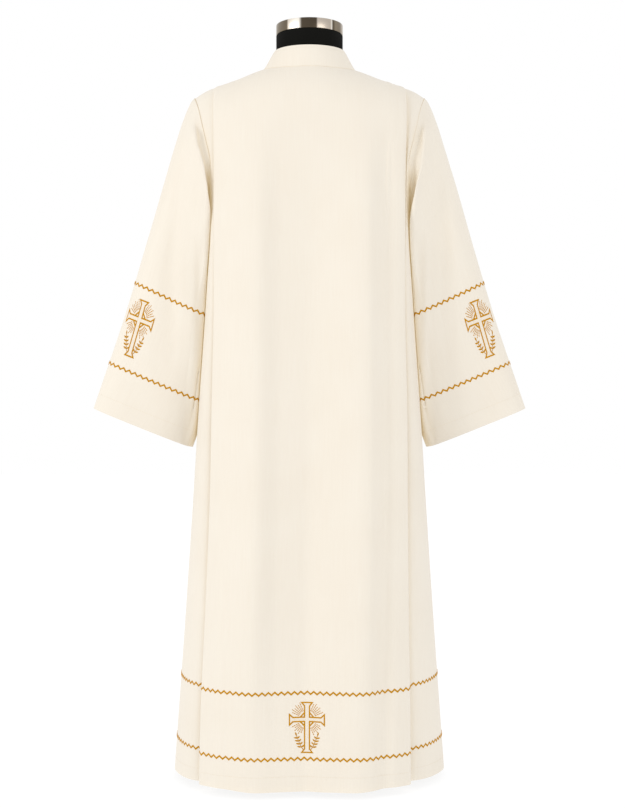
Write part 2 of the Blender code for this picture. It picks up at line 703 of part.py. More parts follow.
def lofted(name, sections, finish):
    """Circles stretched to each section's half width and depth, bridged into one solid with flat ends."""
    shape = bmesh.new()
    loops = []
    for z, wide, deep, y in sections:
        stretched = Matrix.Translation((0, y * MM, z * MM)) @ Matrix.Diagonal((wide * MM, deep * MM, 1, 1))
        made = bmesh.ops.create_circle(shape, segments=AROUND, radius=1.0, matrix=stretched)
        loops.append(list({edge for vert in made["verts"] for edge in vert.link_edges}))
    for lower, upper in zip(loops, loops[1:]):
        bmesh.ops.bridge_loops(shape, edges=lower + upper)
    for end in (loops[0], loops[-1]):
        bmesh.ops.edgeloop_fill(shape, edges=end)
    bmesh.ops.recalc_face_normals(shape, faces=shape.faces)
    mesh = bpy.data.meshes.new(name)
    shape.to_mesh(mesh)
    shape.free()
    return make_object(name, mesh, finish)


def turned(name, *rings):
    """A round piece of steel, from (height, radius) pairs."""
    return lofted(name, [(z, r, r, 0.0) for z, r in rings], FORM_STEEL)


BASE_R, BASE_TOP = 120.0, 8.0
BASE_BEVEL = 1.5
POLE_R = 14.0
CAP_FOOT, CAP_TOP = 1474.0, 1494.5
CAP_BEVEL = (0.5, 1.2)  # in and up

lofted("form_torso", TORSO, FORM_JERSEY)
turned(
    "form_neck_cap",
    (CAP_FOOT, NECK_R - CAP_BEVEL[0]),
    (CAP_FOOT + CAP_BEVEL[1], NECK_R),
    (CAP_TOP - CAP_BEVEL[1], NECK_R),
    (CAP_TOP, NECK_R - CAP_BEVEL[0]),
)
turned("form_pole", (BASE_TOP + GAP, POLE_R), (TORSO_FOOT - GAP, POLE_R))
turned("form_base", (0.0, BASE_R), (BASE_TOP - BASE_BEVEL, BASE_R), (BASE_TOP, BASE_R - BASE_BEVEL))
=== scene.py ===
# %% [markdown]
# An alb on a dress form.
# The alb is the long cream garment worn under a chasuble. This one has wide bell sleeves, a stand
# collar, two deep pleats on the back and the front, and gold zigzag embroidery. The frame holds its
# plain solids at their real size. Here each cloth piece is made again as thin cloth with soft folds,
# and the stitching, the form's finishes and the light follow.

import bmesh
import bpy
import numpy as np
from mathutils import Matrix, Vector


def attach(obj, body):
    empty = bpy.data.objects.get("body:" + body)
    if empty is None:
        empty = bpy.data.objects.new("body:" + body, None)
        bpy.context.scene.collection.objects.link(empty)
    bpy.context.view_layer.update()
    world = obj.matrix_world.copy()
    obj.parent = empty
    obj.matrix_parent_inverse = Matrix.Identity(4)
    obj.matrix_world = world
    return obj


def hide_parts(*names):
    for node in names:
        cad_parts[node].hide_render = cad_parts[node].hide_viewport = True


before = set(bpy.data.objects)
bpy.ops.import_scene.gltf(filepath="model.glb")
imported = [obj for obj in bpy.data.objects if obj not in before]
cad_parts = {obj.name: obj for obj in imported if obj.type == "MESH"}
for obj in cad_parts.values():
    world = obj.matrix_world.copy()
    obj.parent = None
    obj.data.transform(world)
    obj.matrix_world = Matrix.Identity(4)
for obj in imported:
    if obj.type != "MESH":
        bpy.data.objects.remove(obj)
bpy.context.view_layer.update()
MM = 0.001

# %% [markdown]
# The camera is level, at half the garment's height and 2.84 m away, so that the hem curves down and
# the collar curves up. A sensor of 36 mm lies along the picture's longer side.

# %% Camera
PICTURE_HEIGHT_PX, FOCAL_PX = 808, 1420
CAMERA_AT = (0.006, -2.84, 0.7384)


def in_scene(name, data):
    made = bpy.data.objects.new(name, data)
    bpy.context.scene.collection.objects.link(made)
    return made


camera = in_scene("camera", bpy.data.cameras.new("camera"))
camera.data.sensor_width = 36
camera.data.lens = camera.data.sensor_width * FOCAL_PX / PICTURE_HEIGHT_PX
camera.location = CAMERA_AT
camera.rotation_euler = (np.pi / 2, 0, 0)
bpy.context.scene.camera = camera
print("lens, mm:", round(camera.data.lens, 2))

# %% [markdown]
# The cut of the body. A panel is a flat piece of cloth, so each one starts as a flat grid and every
# point of it is moved to where it is worn, which follows from short tables. The numbers are
# millimetres, `out` is the distance from the plane of the side seams, and EDGE is a pleat's folded edge.

# %% Sizes of the body
CLOTH, GAP, HALF_SLIT = 1.5, 0.3, 1.2
HEM_Z, LOW_Z, NOTCH_Z, TOP_Z = 12, 1000, 1209, 1372
WIDTHS = np.array([
    # z   edge  side
    (12, 201, 268),
    (146, 199.5, 258.5),
    (346, 194, 244.5),
    (546, 189.5, 231.5),
    (746, 187.5, 219),
    (906, 184.5, 208),
    (1000, 184.5, 202),
    (1090, 185, 198),
    (1150, 185.3, 199.5),
    (1209, 185.6, 204.5),
    (1372, 188, 229),
])
# how far out the middle panel lies, at six places from the middle (0) to the EDGE (1)
PLACES = (0, 0.25, 0.50, 0.72, 0.88, 1)
DEPTHS = np.array([
    # z   0    .25  .50  .72  .88  1
    (12, 177, 184, 190, 176, 160, 144),
    (500, 153, 158, 162, 150, 137, 123),
    (900, 133, 135, 136, 128, 117, 104),
    (1290, 118, 117.5, 115.5, 108, 100, 90),
])
FRONT_MORE, FRONT_MORE_FROM, FRONT_MORE_OVER = 5, 100, 900
PLEATS = np.array([
    # z  width edge_r hidden_r side_under fold_under
    (12, 42, 5, 6, 54, 69),
    (400, 42, 4, 4.5, 37, 48),
    (700, 42, 3.2, 3.5, 25, 32),
    (1000, 42, 2.4, 2.4, 13, 16),
    (1209, 42, 1.6, 1.6, 7.5, 7.8),
    (1372, 40, 1.15, 1.1, 4.5, 4.5),
])
SHOULDER = np.array([
    # x  back  front  how far down the cloth turns from level to upright
    (0, 1424, 1398, 120),
    (46, 1419, 1399.5, 120),
    (75, 1411.5, 1402.5, 119),
    (93, 1406, 1406, 118),
    (116, 1398, 1398, 115),
    (137, 1390, 1390, 111),
    (161, 1382, 1382, 106),
    (184, 1374, 1374, 101),
    (203, 1366, 1366, 98),
])
NECK_HALF = (93, 75, 78)  # half width of the neckline, and its depth to the back and to the front
ARMHOLE = np.array([
    # x   out  z: from the shoulder point to the notch, where the seam lies farthest in
    (229, 0, 1348.5),
    (225.5, 24, 1341),
    (217.5, 48, 1319),
    (209, 65, 1284),
    (200.5, 74, 1249),
])
# from the notch to the armpit: angle round the side panel, height
LOWER_ARMHOLE = ((38, 1164), (54, 1131), (67, 1108), (79, 1094), (90, 1090))
LOW_ANGLES = (0, 8, 17, 30, 45, 60, 75, 90)
TOP_ROWS = (0, 0.012, 0.05, 0.115, 0.21, 0.36, 0.62, 1)
ARMHOLE_ROWS = (0, 0.04, 0.12, 0.23, 0.36, 0.53, 0.75, 1)
MID_ROWS, HEM_ROWS = 3, 12
NOTCH = len(TOP_ROWS) - 1
TOP_COLUMNS = (0, 0.161, 0.305, 0.405, 0.471, 0.4947, 0.61, 0.73, 0.84, 0.925)
LOW_COLUMNS = (0, 0.10, 0.20, 0.30, 0.40, 0.50, 0.62, 0.74, 0.85, 0.935)
NECK_POINT, PLEAT_COLUMNS = 5, 11
EDGE_COLUMN = len(LOW_COLUMNS) + PLEAT_COLUMNS - 1
POINT_COLUMN = EDGE_COLUMN + 2
COLUMNS = POINT_COLUMN + 1 + len(LOWER_ARMHOLE)


# %% Reading the tables
def between(a, b, leave, arrive, t):
    """A cubic piece from a to b."""
    from_a = a * (2 * t**3 - 3 * t**2 + 1) + leave * (t**3 - 2 * t**2 + t)
    return from_a + b * (3 * t**2 - 2 * t**3) + arrive * (t**3 - t**2)


def smooth(at, places, values):
    """A curve through the values, or rows of them, with each slope taken from the neighbours."""
    order = np.argsort(places)
    places, values = np.asarray(places, float)[order], np.asarray(values, float)[order]
    slopes = np.gradient(values, places, axis=0)
    at = np.clip(at, places[0], places[-1])
    i = np.clip(np.searchsorted(places, at, side="right") - 1, 0, len(places) - 2)
    step = places[i + 1] - places[i]
    t = (at - places[i]) / step
    if np.ndim(at) and values.ndim > 1:
        step, t = step[:, None], t[:, None]
    return between(values[i], values[i + 1], slopes[i] * step, slopes[i + 1] * step, t)


def row_at(table, z):
    """The table's row at a height, which its first column holds."""
    return smooth(z, table[:, 0], table[:, 1:])


def ease(t):
    t = np.clip(t, 0, 1)
    return t * t * (3 - 2 * t)


def unit(vectors):
    return vectors / np.maximum(np.linalg.norm(vectors, axis=-1, keepdims=True), 1e-9)


def reach_of(line):
    return np.append(0, np.cumsum(np.linalg.norm(np.diff(line, axis=0), axis=1)))


def half_width(z):
    return row_at(WIDTHS, z)[0]


def depth_at(share, z, front):
    more = FRONT_MORE * front * ease((z - FRONT_MORE_FROM) / FRONT_MORE_OVER)
    z = min(z, DEPTHS[-1, 0])
    return smooth(share, PLACES, row_at(DEPTHS, z)) + more


def shoulder_z(x, front):
    return row_at(SHOULDER, x)[int(front)]


def out_at(x, z, under, front):
    """How far out the middle panel lies, or a layer `under` mm below it."""
    turn = row_at(SHOULDER, x)[2]
    out = depth_at(x / half_width(z), z, front) - under
    drop = shoulder_z(x, front) - under - z
    if drop >= turn:
        return out
    return out * np.sqrt(max(0, 1 - (1 - max(drop, 0) / turn) ** 2))


# %% [markdown]
# A pleat is cloth folded back under itself. Seen from above it is a narrow S: round the EDGE, back
# under the panel to a hidden fold, and out again to the side panel.

# %% Pleats and the side panel
def pleat_columns(z):
    """(x, depth under the middle panel) of each pleat column, from the EDGE on."""
    width, edge_r, hidden_r, side_under, fold_under = row_at(PLEATS, z)
    x_edge = half_width(z)
    x_fold, fold_mid = x_edge - width + hidden_r, fold_under - hidden_r
    bend = np.radians((90, 30, -30, -90))
    edge = [(x_edge - edge_r + edge_r * np.cos(a), edge_r - edge_r * np.sin(a)) for a in bend]
    fold = [(x_fold - hidden_r * np.cos(a), fold_mid - hidden_r * np.sin(a)) for a in bend]
    last = (x_edge, side_under)
    to_fold, to_side = [tuple(np.add(a, b) / 2) for a, b in ((edge[-1], fold[0]), (fold[-1], last))]
    return [*edge, to_fold, *fold, to_side, last]


def side_at(angle, z, front):
    """A point of the side panel: 0 degrees at the EDGE, 90 at the side seam."""
    x_edge, side = row_at(WIDTHS, z)
    out = depth_at(1, z, front) - row_at(PLEATS, z)[3]
    a = np.radians(angle)
    return np.array((x_edge + (side - x_edge) * np.sin(a), out * np.cos(a), z))


def row_heights(top_z):
    heights = [top_z + (NOTCH_Z - top_z) * share for share in TOP_ROWS]
    heights += [NOTCH_Z + (LOW_Z - NOTCH_Z) * i / MID_ROWS for i in range(1, MID_ROWS + 1)]
    return heights + [LOW_Z + (HEM_Z - LOW_Z) * i / HEM_ROWS for i in range(1, HEM_ROWS + 1)]


def neck_height(x, out, front):
    deepest = depth_at(x / half_width(TOP_Z), TOP_Z, front)
    turn = row_at(SHOULDER, x)[2]
    return shoulder_z(x, front) - turn * (1 - np.sqrt(1 - (out / deepest) ** 2))


# %% [markdown]
# Half a panel has rows that run down and columns that run round, from the middle to the side seam.
# Above the armhole's notch the cloth ends at the seam, so the columns beyond it have no points there.

# %% Half a panel
def half_panel(front):
    """Half a panel in the frame, which ends half a gap short of the plane of the seams."""
    rows = len(TOP_ROWS) + MID_ROWS + HEM_ROWS
    grid = np.full((rows, COLUMNS, 3), np.nan)
    deep = NECK_HALF[2 if front else 1]
    for c, (top_share, low_share) in enumerate(zip(TOP_COLUMNS, LOW_COLUMNS)):
        x_top = top_share * half_width(TOP_Z)
        top_z = shoulder_z(x_top, front)
        if c <= NECK_POINT:
            round_neck = np.sqrt(max(0, 1 - (x_top / NECK_HALF[0]) ** 2))
            top_z = neck_height(x_top, deep * round_neck if c < NECK_POINT else 0, front)
        for r, z in enumerate(row_heights(top_z)):
            x = (top_share + (low_share - top_share) * ease(r / NOTCH)) * half_width(z)
            grid[r, c] = x, out_at(x, z, 0, front), z
    for c, (top_x, top_under) in enumerate(pleat_columns(TOP_Z)):
        for r, z in enumerate(row_heights(shoulder_z(top_x, front) - top_under)):
            x, under = pleat_columns(z)[c]
            grid[r, len(LOW_COLUMNS) + c] = x, out_at(x, z, under, front), z
    edge = EDGE_COLUMN
    notch_angle = LOW_ANGLES[2] + 3
    strip_bulge = np.array((0.5, 1.6, 1))
    seam = np.array([*ARMHOLE, side_at(notch_angle, NOTCH_Z, front)])
    reach = reach_of(seam) / reach_of(seam)[-1]
    for r in range(rows):
        if r < NOTCH:
            grid[r, edge + 2] = smooth(ARMHOLE_ROWS[r], reach, seam)
            grid[r, edge + 1] = (grid[r, edge] + grid[r, edge + 2]) / 2 + strip_bulge * min(1, r / 3)
            continue
        z = row_heights(NOTCH_Z)[r]
        mix = ease((r - NOTCH) / MID_ROWS)
        for i, top_angle in ((1, notch_angle / 2), (2, notch_angle)):
            grid[r, edge + i] = side_at(top_angle + (LOW_ANGLES[i] - top_angle) * mix, z, front)
        for i, (top_angle, top_z) in enumerate(LOWER_ARMHOLE):
            share = min(1, (r - NOTCH) / MID_ROWS)
            height = top_z + (LOW_Z - top_z) * share if r < NOTCH + MID_ROWS else z
            angle = top_angle + (LOW_ANGLES[3 + i] - top_angle) * share
            grid[r, edge + 3 + i] = side_at(angle, height, front)
    grid[..., 1] = np.maximum(grid[..., 1], GAP / 2) * (1 if front else -1)
    return grid


def mirrored(half, slit=0):
    """Both halves as one grid. The front keeps both edges of its opening."""
    half, other = half.copy(), half[:, ::-1] * (-1, 1, 1)
    if not slit:
        return np.concatenate([other[:, :-1], half], axis=1)
    half[:, 0, 0], other[:, -1, 0] = slit, -slit
    return np.concatenate([other, half], axis=1)


back_half, front_half = half_panel(False), half_panel(True)
back_cut, front_cut = mirrored(back_half), mirrored(front_half, HALF_SLIT)[:, ::-1]
print("points of the back and the front:", back_cut.shape[:2], front_cut.shape[:2])

# %% [markdown]
# A sleeve is a wide tube, sewn into the armhole. Its rows start at the seam, turn over the shoulder
# and open out down to the cuff. At the back its cloth hangs in a fold over the side of the body,
# whose ridge is a short list of places.

# %% Sizes of the sleeve
SLEEVE = np.array([
    # t    outer x, y, z   inner x, y, z    half depth
    (0.037, 243, 0, 1326, 207, 4, 1084, 74),
    (0.134, 263, 0, 1266, 205, 26, 1040, 78),
    (0.328, 299, 3, 1146, 207.5, 56, 950, 72),
    (0.522, 335, 7, 1026, 212, 66, 864, 66),
    (0.716, 372, 10, 906, 219.5, 68, 778, 61),
    (0.910, 413.5, 14, 786, 230.5, 62, 692, 57),
    (1.000, 433, 16, 730, 240, 58, 652, 55),
])
SLEEVE_ROWS = (0.134, 0.19, 0.25, 0.328, 0.42, 0.522, 0.62, 0.716, 0.81, 0.91, 1)
SECTION_POWER = 0.86
# degrees round the section, reach in radians, move
SIDE_FOLDS = ((130, 0.62, (-16, -42, 0)), (238, 0.60, (-8, 12, 0)))
SIDE_FOLD_FROM, SIDE_FOLD_OVER = 0.10, 0.33
SEAM_ROWS = ((3.6, 3.6, 1), (5.2, 5.2, 4.4), (4.4, 5.6, 8.2))
ASIDE_LOW, ASIDE_HIGH = np.array((1, 0, -0.12)), np.array((0.42, 0, -0.90))
NOTCH_LEAN, SLACK = 0.12, 0.9
RIDGE = {
    5: (226, -72, 1268),
    6: (219, -83, 1236),
    7: (211.5, -90, 1197),
    8: (204.5, -95, 1159),
    9: (199.5, -94, 1122),
    10: (199.5, -72, 1087),
    11: (204.5, -32, 1068),
}


# %% The sleeve's rows
def armhole_ring():
    """Where the sleeve is sewn in, and at each point the way on out of the body's cloth."""
    seam = [(r, POINT_COLUMN) for r in range(NOTCH + 1)]
    seam += [(NOTCH, POINT_COLUMN + 1 + i) for i in range(len(LOWER_ARMHOLE))]
    lines, ways = [], []
    for half in (back_half, front_half):
        line = np.array([half[p] for p in seam])
        tangents = unit(np.gradient(line, axis=0))
        out = []
        for i, (r, c) in enumerate(seam):
            on = half[r, c] - half[r, c - 1]
            if i >= NOTCH:
                on = on * (i == NOTCH) + (half[r, c] - half[r + 1, c]) * (NOTCH_LEAN if i == NOTCH else 1)
            out.append(unit(on - tangents[i] * (on @ tangents[i])))
        lines.append(line)
        ways.append(np.array(out))
    ring, way = [np.concatenate([behind, ahead[-2:0:-1]]) for behind, ahead in (lines, ways)]
    low = len(seam) - 1
    for i in (0, low):
        ring[i, 1] = 0
        way[i] = unit(way[i] * (1, 0, 1))
    return ring, way, low


def sleeve_section(t, angles):
    *places, deep = row_at(SLEEVE, t)
    outer, inner = np.array(places[:3]), np.array(places[3:])
    folded_in = 1 - ease((t - SIDE_FOLD_FROM) / SIDE_FOLD_OVER)
    points = outer + np.outer((1 - np.cos(angles)) / 2, inner - outer)
    out = np.sin(angles)
    points[:, 1] -= deep * np.sign(out) * np.abs(out) ** SECTION_POWER
    for centre, reach, move in SIDE_FOLDS:
        points += np.outer(ease(1 - np.abs(angles - np.radians(centre)) / reach) * folded_in, move)
    return points


def sleeve_grid():
    ring, way, low = armhole_ring()
    up_front = np.linspace(np.pi, 2 * np.pi, len(ring) - low + 1)[1:-1]
    angles = np.concatenate([np.linspace(0, np.pi, low + 1), up_front])
    high = np.clip((ring[:, 2:] - ring[low, 2]) / (ring[0, 2] - ring[low, 2]), 0, 1) ** 3
    aside = (1 - high) * ASIDE_LOW + high * ASIDE_HIGH
    rows = [ring + way * GAP]
    rows += [ring + way * (on + (on_high - on) * high) + aside * off for on, on_high, off in SEAM_ROWS]
    start, target = rows[-1], sleeve_section(SLEEVE_ROWS[0], angles)
    leave = unit(start - rows[-2])
    arrive = unit(sleeve_section(SLEEVE_ROWS[0] + 0.03, angles) - target)
    length = np.linalg.norm(target - start, axis=1, keepdims=True)
    over = between(start, target, leave * length * SLACK, arrive * length * SLACK, 0.5)
    for number, point in RIDGE.items():
        over[number] = point
    first = np.linalg.norm(over - start, axis=1, keepdims=True)
    second = np.linalg.norm(target - over, axis=1, keepdims=True)
    across = (target - start) / (first + second)
    rows += [between(start, over, leave * first, across * first, 0.5), over]
    rows += [between(over, target, across * second, arrive * second, t) for t in (1 / 3, 2 / 3)]
    grid = np.array(rows + [sleeve_section(t, angles) for t in SLEEVE_ROWS])
    return np.concatenate([grid, grid[:, :1]], axis=1)[:, ::-1]


right_cut = sleeve_grid()
print("points of a sleeve:", right_cut.shape[:2])


# %% [markdown]
# The tables give a coarse grid. `finer` draws curves through its points, so that the cloth is round
# and still passes through every size in the tables.

# %% A finer grid
def through(points, index):
    """A curve through the points that are there, read at fractional places in the list."""
    there = np.flatnonzero(np.isfinite(points[:, 0]))
    reach = reach_of(points[there])
    found = np.full((len(index), 3), np.nan)
    inside = (index >= there[0]) & (index <= there[-1])
    found[inside] = smooth(np.interp(index[inside], there, reach), reach, points[there])
    return found


def fine_index(grid, axis, step, least):
    """Fractional places along one axis, about `step` mm apart and at least `least` to a cell."""
    gaps = np.nanmean(np.linalg.norm(np.diff(grid, axis=axis), axis=2), axis=1 - axis)
    counts = np.maximum(least, np.ceil(gaps / step)).astype(int)
    return np.concatenate([*[i + np.arange(n) / n for i, n in enumerate(counts)], [len(counts)]])


def finer(grid, down, across, closed=False):
    """The grid with points `down` and `across` mm apart, and the coarse places that they have."""
    rows, columns = fine_index(grid, 0, down, 1), fine_index(grid, 1, across, 2)
    tall = np.stack([through(grid[:, c], rows) for c in range(grid.shape[1])], axis=1)
    if closed:
        tall = np.concatenate([tall[:, -4:-1], tall, tall[:, 1:4]], axis=1)
    return np.stack([through(row, columns + 3 * closed) for row in tall]), rows, columns


def normals_of(grid, closed=False):
    """Unit normals, which point out of the garment."""
    across = grid[1:, 1:] - grid[:-1, :-1]
    down = grid[1:, :-1] - grid[:-1, 1:]
    faces = np.nan_to_num(np.cross(down, across))
    total = np.zeros_like(grid)
    for i, j in ((0, 0), (0, 1), (1, 0), (1, 1)):
        total[i : i + faces.shape[0], j : j + faces.shape[1]] += faces
    if closed:
        total[:, 0] = total[:, -1] = total[:, 0] + total[:, -1]
    return unit(total)


BODY_STEPS, SLEEVE_STEPS = (9, 3.6), (7, 4.5)
back_fine, body_rows, back_columns = finer(back_cut, *BODY_STEPS)
front_fine, _, front_columns = finer(front_cut, *BODY_STEPS)
right_fine, sleeve_rows, sleeve_columns = finer(right_cut, *SLEEVE_STEPS, closed=True)
print("fine grids:", back_fine.shape[:2], front_fine.shape[:2], right_fine.shape[:2])

# %% [markdown]
# The cloth hangs as it is worn. The shoulder line sags by the neck and beside the pleats, and the
# hem is a little higher at the sides. The pleat's edge bows out below the shoulder, and low down the
# side panel comes forward under it. A sleeve rests against the side of the body.

# %% Sag of the shoulders
SAG, SAG_FROM, SAG_OVER, SAG_DEEP = 4.4, 92, 80, 110
STRIP_LIFT = 2.2
HEM_LIFT, HEM_LIFT_FROM = 4, 300
# at x > 0 and at x < 0
NECK_SAGS, EDGE_DIPS, DIP_TOP = (5, 3.2), (6.5, 1), 1400
EDGE_BOWS = ((3.2, 1290, 90), (2, 1290, 120))
SIDE_OUT, SIDE_OUT_FROM, SIDE_OUT_OVER = 27, 700, 450
SIDE_OUT_AT = (
    (18, 19, 20, 21, 22, 23, 24, 25, 27),  # columns from the middle
    (0, 0.6, 1, 0.92, 0.78, 0.55, 0.27, 0.07, 0),
)


def columns_away(columns):
    """How many columns from the middle each one is. The front has two in the middle."""
    middle = columns[-1] / 2
    return np.maximum(np.abs(columns - middle) - middle % 1, 0)


def sagged(grid, columns):
    """The panel with its shoulder line, its pleats' edges and its hem as they hang."""
    away = columns_away(columns)
    x, z, right = np.abs(grid[..., 0]), grid[..., 2], grid[..., 0] > 0
    beyond = np.clip((away - EDGE_COLUMN) / 2, 0, 1)
    down = SAG * ease((x - SAG_FROM) / SAG_OVER) * ease((EDGE_COLUMN - away) / 9)
    down += np.where(right, *NECK_SAGS) * ease((x - 15) / 60) * (1 - ease((x - 88) / 98))
    up = STRIP_LIFT * np.sin(np.pi * beyond) ** 0.8 * (beyond > 0)
    moved = grid.copy()
    moved[..., 2] += (up - down) * (1 - ease((TOP_Z + 6 - z) / SAG_DEEP))
    moved[..., 2] += HEM_LIFT * ease((x - 90) / 80) * ease((HEM_LIFT_FROM - z) / HEM_LIFT_FROM)
    dip = np.exp(-(((away - EDGE_COLUMN) / 0.8) ** 2)) * np.where(right, *EDGE_DIPS)
    dip *= ease((DIP_TOP - z) / 60) * ease((z - LOW_Z) / 160)
    forward = SIDE_OUT * ease((SIDE_OUT_FROM - z) / SIDE_OUT_OVER) * np.interp(away, *SIDE_OUT_AT)
    moved[..., 1] += np.sign(grid[..., 1]) * (forward - dip)
    near = 1 - ease(np.abs(away - EDGE_COLUMN + 4) / 8)
    bows = [out * np.exp(-(((z - at) / reach) ** 2)) * near for out, at, reach in EDGE_BOWS]
    moved[..., 0] += np.where(right, *bows)
    return moved


back_hung, front_hung = sagged(back_fine, back_columns), sagged(front_fine, front_columns)

# %% Sleeves against the body
TOUCH, NEAR = 1.8, 24
# how far the cloth beside the body comes out towards the back, at these degrees round the sleeve
LAID_AT = np.arange(60, 181, 15)
LAID_OUT = np.array([
    # row 60 75 90 105 120 135 150 165 180
    (5, 0, 0, 0, 0, 0, 0, 0, 0, 0),
    (6, 0, 0, 0, 0, 0, 0, 14, 22, 0),
    (8, 0, 0, 2, 2, 0, 6, 35, 46, 0),
    (10, 0, 1, 5, 9, 9, 21, 49, 62, 0),
    (12, 0, 2, 10, 20, 33, 48, 63, 65, 0),
    (15, 0, 5, 12, 22, 34, 46, 58, 60, 0),
    (17, 0, 2, 7, 14, 22, 30, 36, 39, 0),
    (18, 0, 1, 4, 9, 15, 20, 25, 26, 0),
])
# the coarse columns counted from the outer line over the back, as in RIDGE
round_sleeve = sleeve_columns[-1] - sleeve_columns
COLUMN_DEGREES = 15
STEP_Z = 20
BESIDE_Z = np.arange(640, 1161, STEP_Z)
SIDES = [
    np.array([[side_at(a, z, is_front)[:2] for a in range(90, -1, -10)] for z in BESIDE_Z])
    for is_front in (False, True)
]


def body_side(out, z, is_front):
    """How far from the middle the body's side panel lies, `out` mm from the seams' plane."""
    at = (z - BESIDE_Z[0]) / STEP_Z
    k = min(int(at), len(BESIDE_Z) - 2)
    line = SIDES[is_front][k] * (1 - at + k) + SIDES[is_front][k + 1] * (at - k)
    return np.interp(out, line[:, 1], line[:, 0])


def laid_flat(grid):
    """The sleeve with its cloth beside the body brought out towards the back."""
    degrees = round_sleeve * COLUMN_DEGREES
    flat = grid.copy()
    for r in np.flatnonzero(sleeve_rows > LAID_OUT[0, 0]):
        flat[r, :, 1] -= smooth(degrees, LAID_AT, row_at(LAID_OUT, sleeve_rows[r]))
    return flat


def relaxed(grid, share, rounds):
    """In each round a point moves towards the middle of its four neighbours."""
    even = grid.copy()
    for _ in range(rounds):
        middle = (even[:-2, 1:-1] + even[2:, 1:-1] + even[1:-1, :-2] + even[1:-1, 2:]) / 4
        even[1:-1, 1:-1] += (middle - even[1:-1, 1:-1]) * share[1:-1, 1:-1, None]
    return even


def rested(grid):
    """The sleeve at x > 0 with its inner side moved up against the body, TOUCH mm from it."""
    towards = -normals_of(grid, closed=True)[..., 0]
    resting = grid.copy()
    for r, c in np.argwhere((grid[..., 2] < BESIDE_Z[-1]) & (grid[..., 2] > BESIDE_Z[0])):
        x, y, z = grid[r, c]
        gap = x - body_side(abs(y), z, int(y > 0))
        share = (1 - ease((gap - TOUCH) / NEAR)) * ease((sleeve_rows[r] - 4) / 2)
        # cloth that isn't at the body yet is moved only where it faces it
        if gap > TOUCH:
            share *= ease((towards[r, c] - 0.1) / 0.5) * ease((BESIDE_Z[-1] - z) / 50)
        resting[r, c, 0] -= (gap - TOUCH) * share
    return resting


# the fold under the arm turns fastest here, so it is evened out before the sleeve is laid
UNDER_ARM, UNDER_ARM_HALF, EVEN_ROUNDS = 10.6, 2.6, 60
under_arm = np.outer(
    ease((sleeve_rows - 4.2) / 1.2) * ease((10 - sleeve_rows) / 2),
    ease((UNDER_ARM_HALF - np.abs(round_sleeve - UNDER_ARM)) / 1.2),
)
right_even = relaxed(laid_flat(right_fine), under_arm, EVEN_ROUNDS)
# how far the fold that hangs over the side comes in towards the body, on either side
FOLD_IN = np.array([
    # z   right  left
    (980, 0, 0),
    (1020, 0, 1.2),
    (1065, 0, 3),
    (1090, 0, 3.2),
    (1120, 0, 4.5),
    (1145, -0.5, 6.5),
    (1165, -2, 7),
    (1200, -4, 7),
    (1230, -1.5, 4.5),
    (1255, 0, 0),
])
RIDGE_AT = np.array(sorted((point[2], number) for number, point in RIDGE.items()))


def brought_in(grid, side):
    """The sleeve at x > 0 with the ridge of that fold moved towards the body."""
    z = grid[..., 2]
    beside = round_sleeve - np.interp(z, *RIDGE_AT.T)
    down = ease((sleeve_rows - 3.6) / 1.2) * (1 - ease((sleeve_rows - 7) / 4))
    share = np.exp(-((beside / 1.6) ** 2)) * down[:, None]
    moved = grid.copy()
    moved[..., 0] -= np.interp(z, FOLD_IN[:, 0], FOLD_IN[:, side]) * share
    return moved


right_hung, left_hung = [rested(brought_in(right_even, side)) for side in (1, 2)]
left_hung = (left_hung * (-1, 1, 1))[:, ::-1]
print("a sleeve is moved, mm, at most:", round(float(np.abs(right_hung - right_fine).max()), 1))

# %% [markdown]
# Cloth that hangs free falls in long soft ridges and troughs, none of them alike. Each one here is a
# line down the garment. The pleats also hang a little to one side towards the hem.

# %% Folds
FOLDS = {}
FOLDS["back"] = (
    # from (x, z) to (x, z), width to the left and right, lift, fades over (top, low)
    ((-98, 1330), (-105, 400), (64, 28), 12, (260, 400)),
    ((4, 1320), (13, 400), (66, 48), -10, (330, 400)),
    ((108, 1330), (113, 400), (40, 20), 9.5, (240, 400)),
    ((152, 1320), (150, 12), (16, 13), -6, (200, 1)),
    ((44, 640), (34, 12), (22, 26), 3.2, (340, 1)),
    ((-156, 700), (-164, 12), (16, 12), 2.6, (320, 1)),
)
FOLDS["front"] = (
    ((-92, 1250), (-112, 12), (26, 48), 6.5, (260, 1)),
    ((-44, 1100), (-38, 12), (34, 30), -4.5, (380, 1)),
    ((84, 1280), (102, 12), (40, 30), 6.5, (400, 1)),
    ((134, 1000), (146, 12), (18, 16), -3.6, (260, 1)),
    ((20, 820), (34, 200), (30, 34), 2.6, (300, 260)),
)
FOLDS["right"] = (
    ((233, 1320), (226, 820), (9, 8), 2.6, (60, 200)),
    ((252, 1280), (262, 1010), (13, 13), -4, (90, 120)),
    ((276, 1240), (296, 900), (16, 22), 3.2, (140, 160)),
    ((310, 1000), (350, 720), (24, 24), -1.8, (120, 60)),
)
FOLDS["left"] = (
    ((-226, 1320), (-228, 860), (14, 9), 2.8, (60, 260)),
    ((-254, 1240), (-272, 930), (15, 14), -3.6, (110, 160)),
    ((-290, 1120), (-318, 860), (24, 20), 2.2, (160, 160)),
)
LEAN, LEAN_FROM = -8.2, 720  # mm to one side at the hem, and from this height down


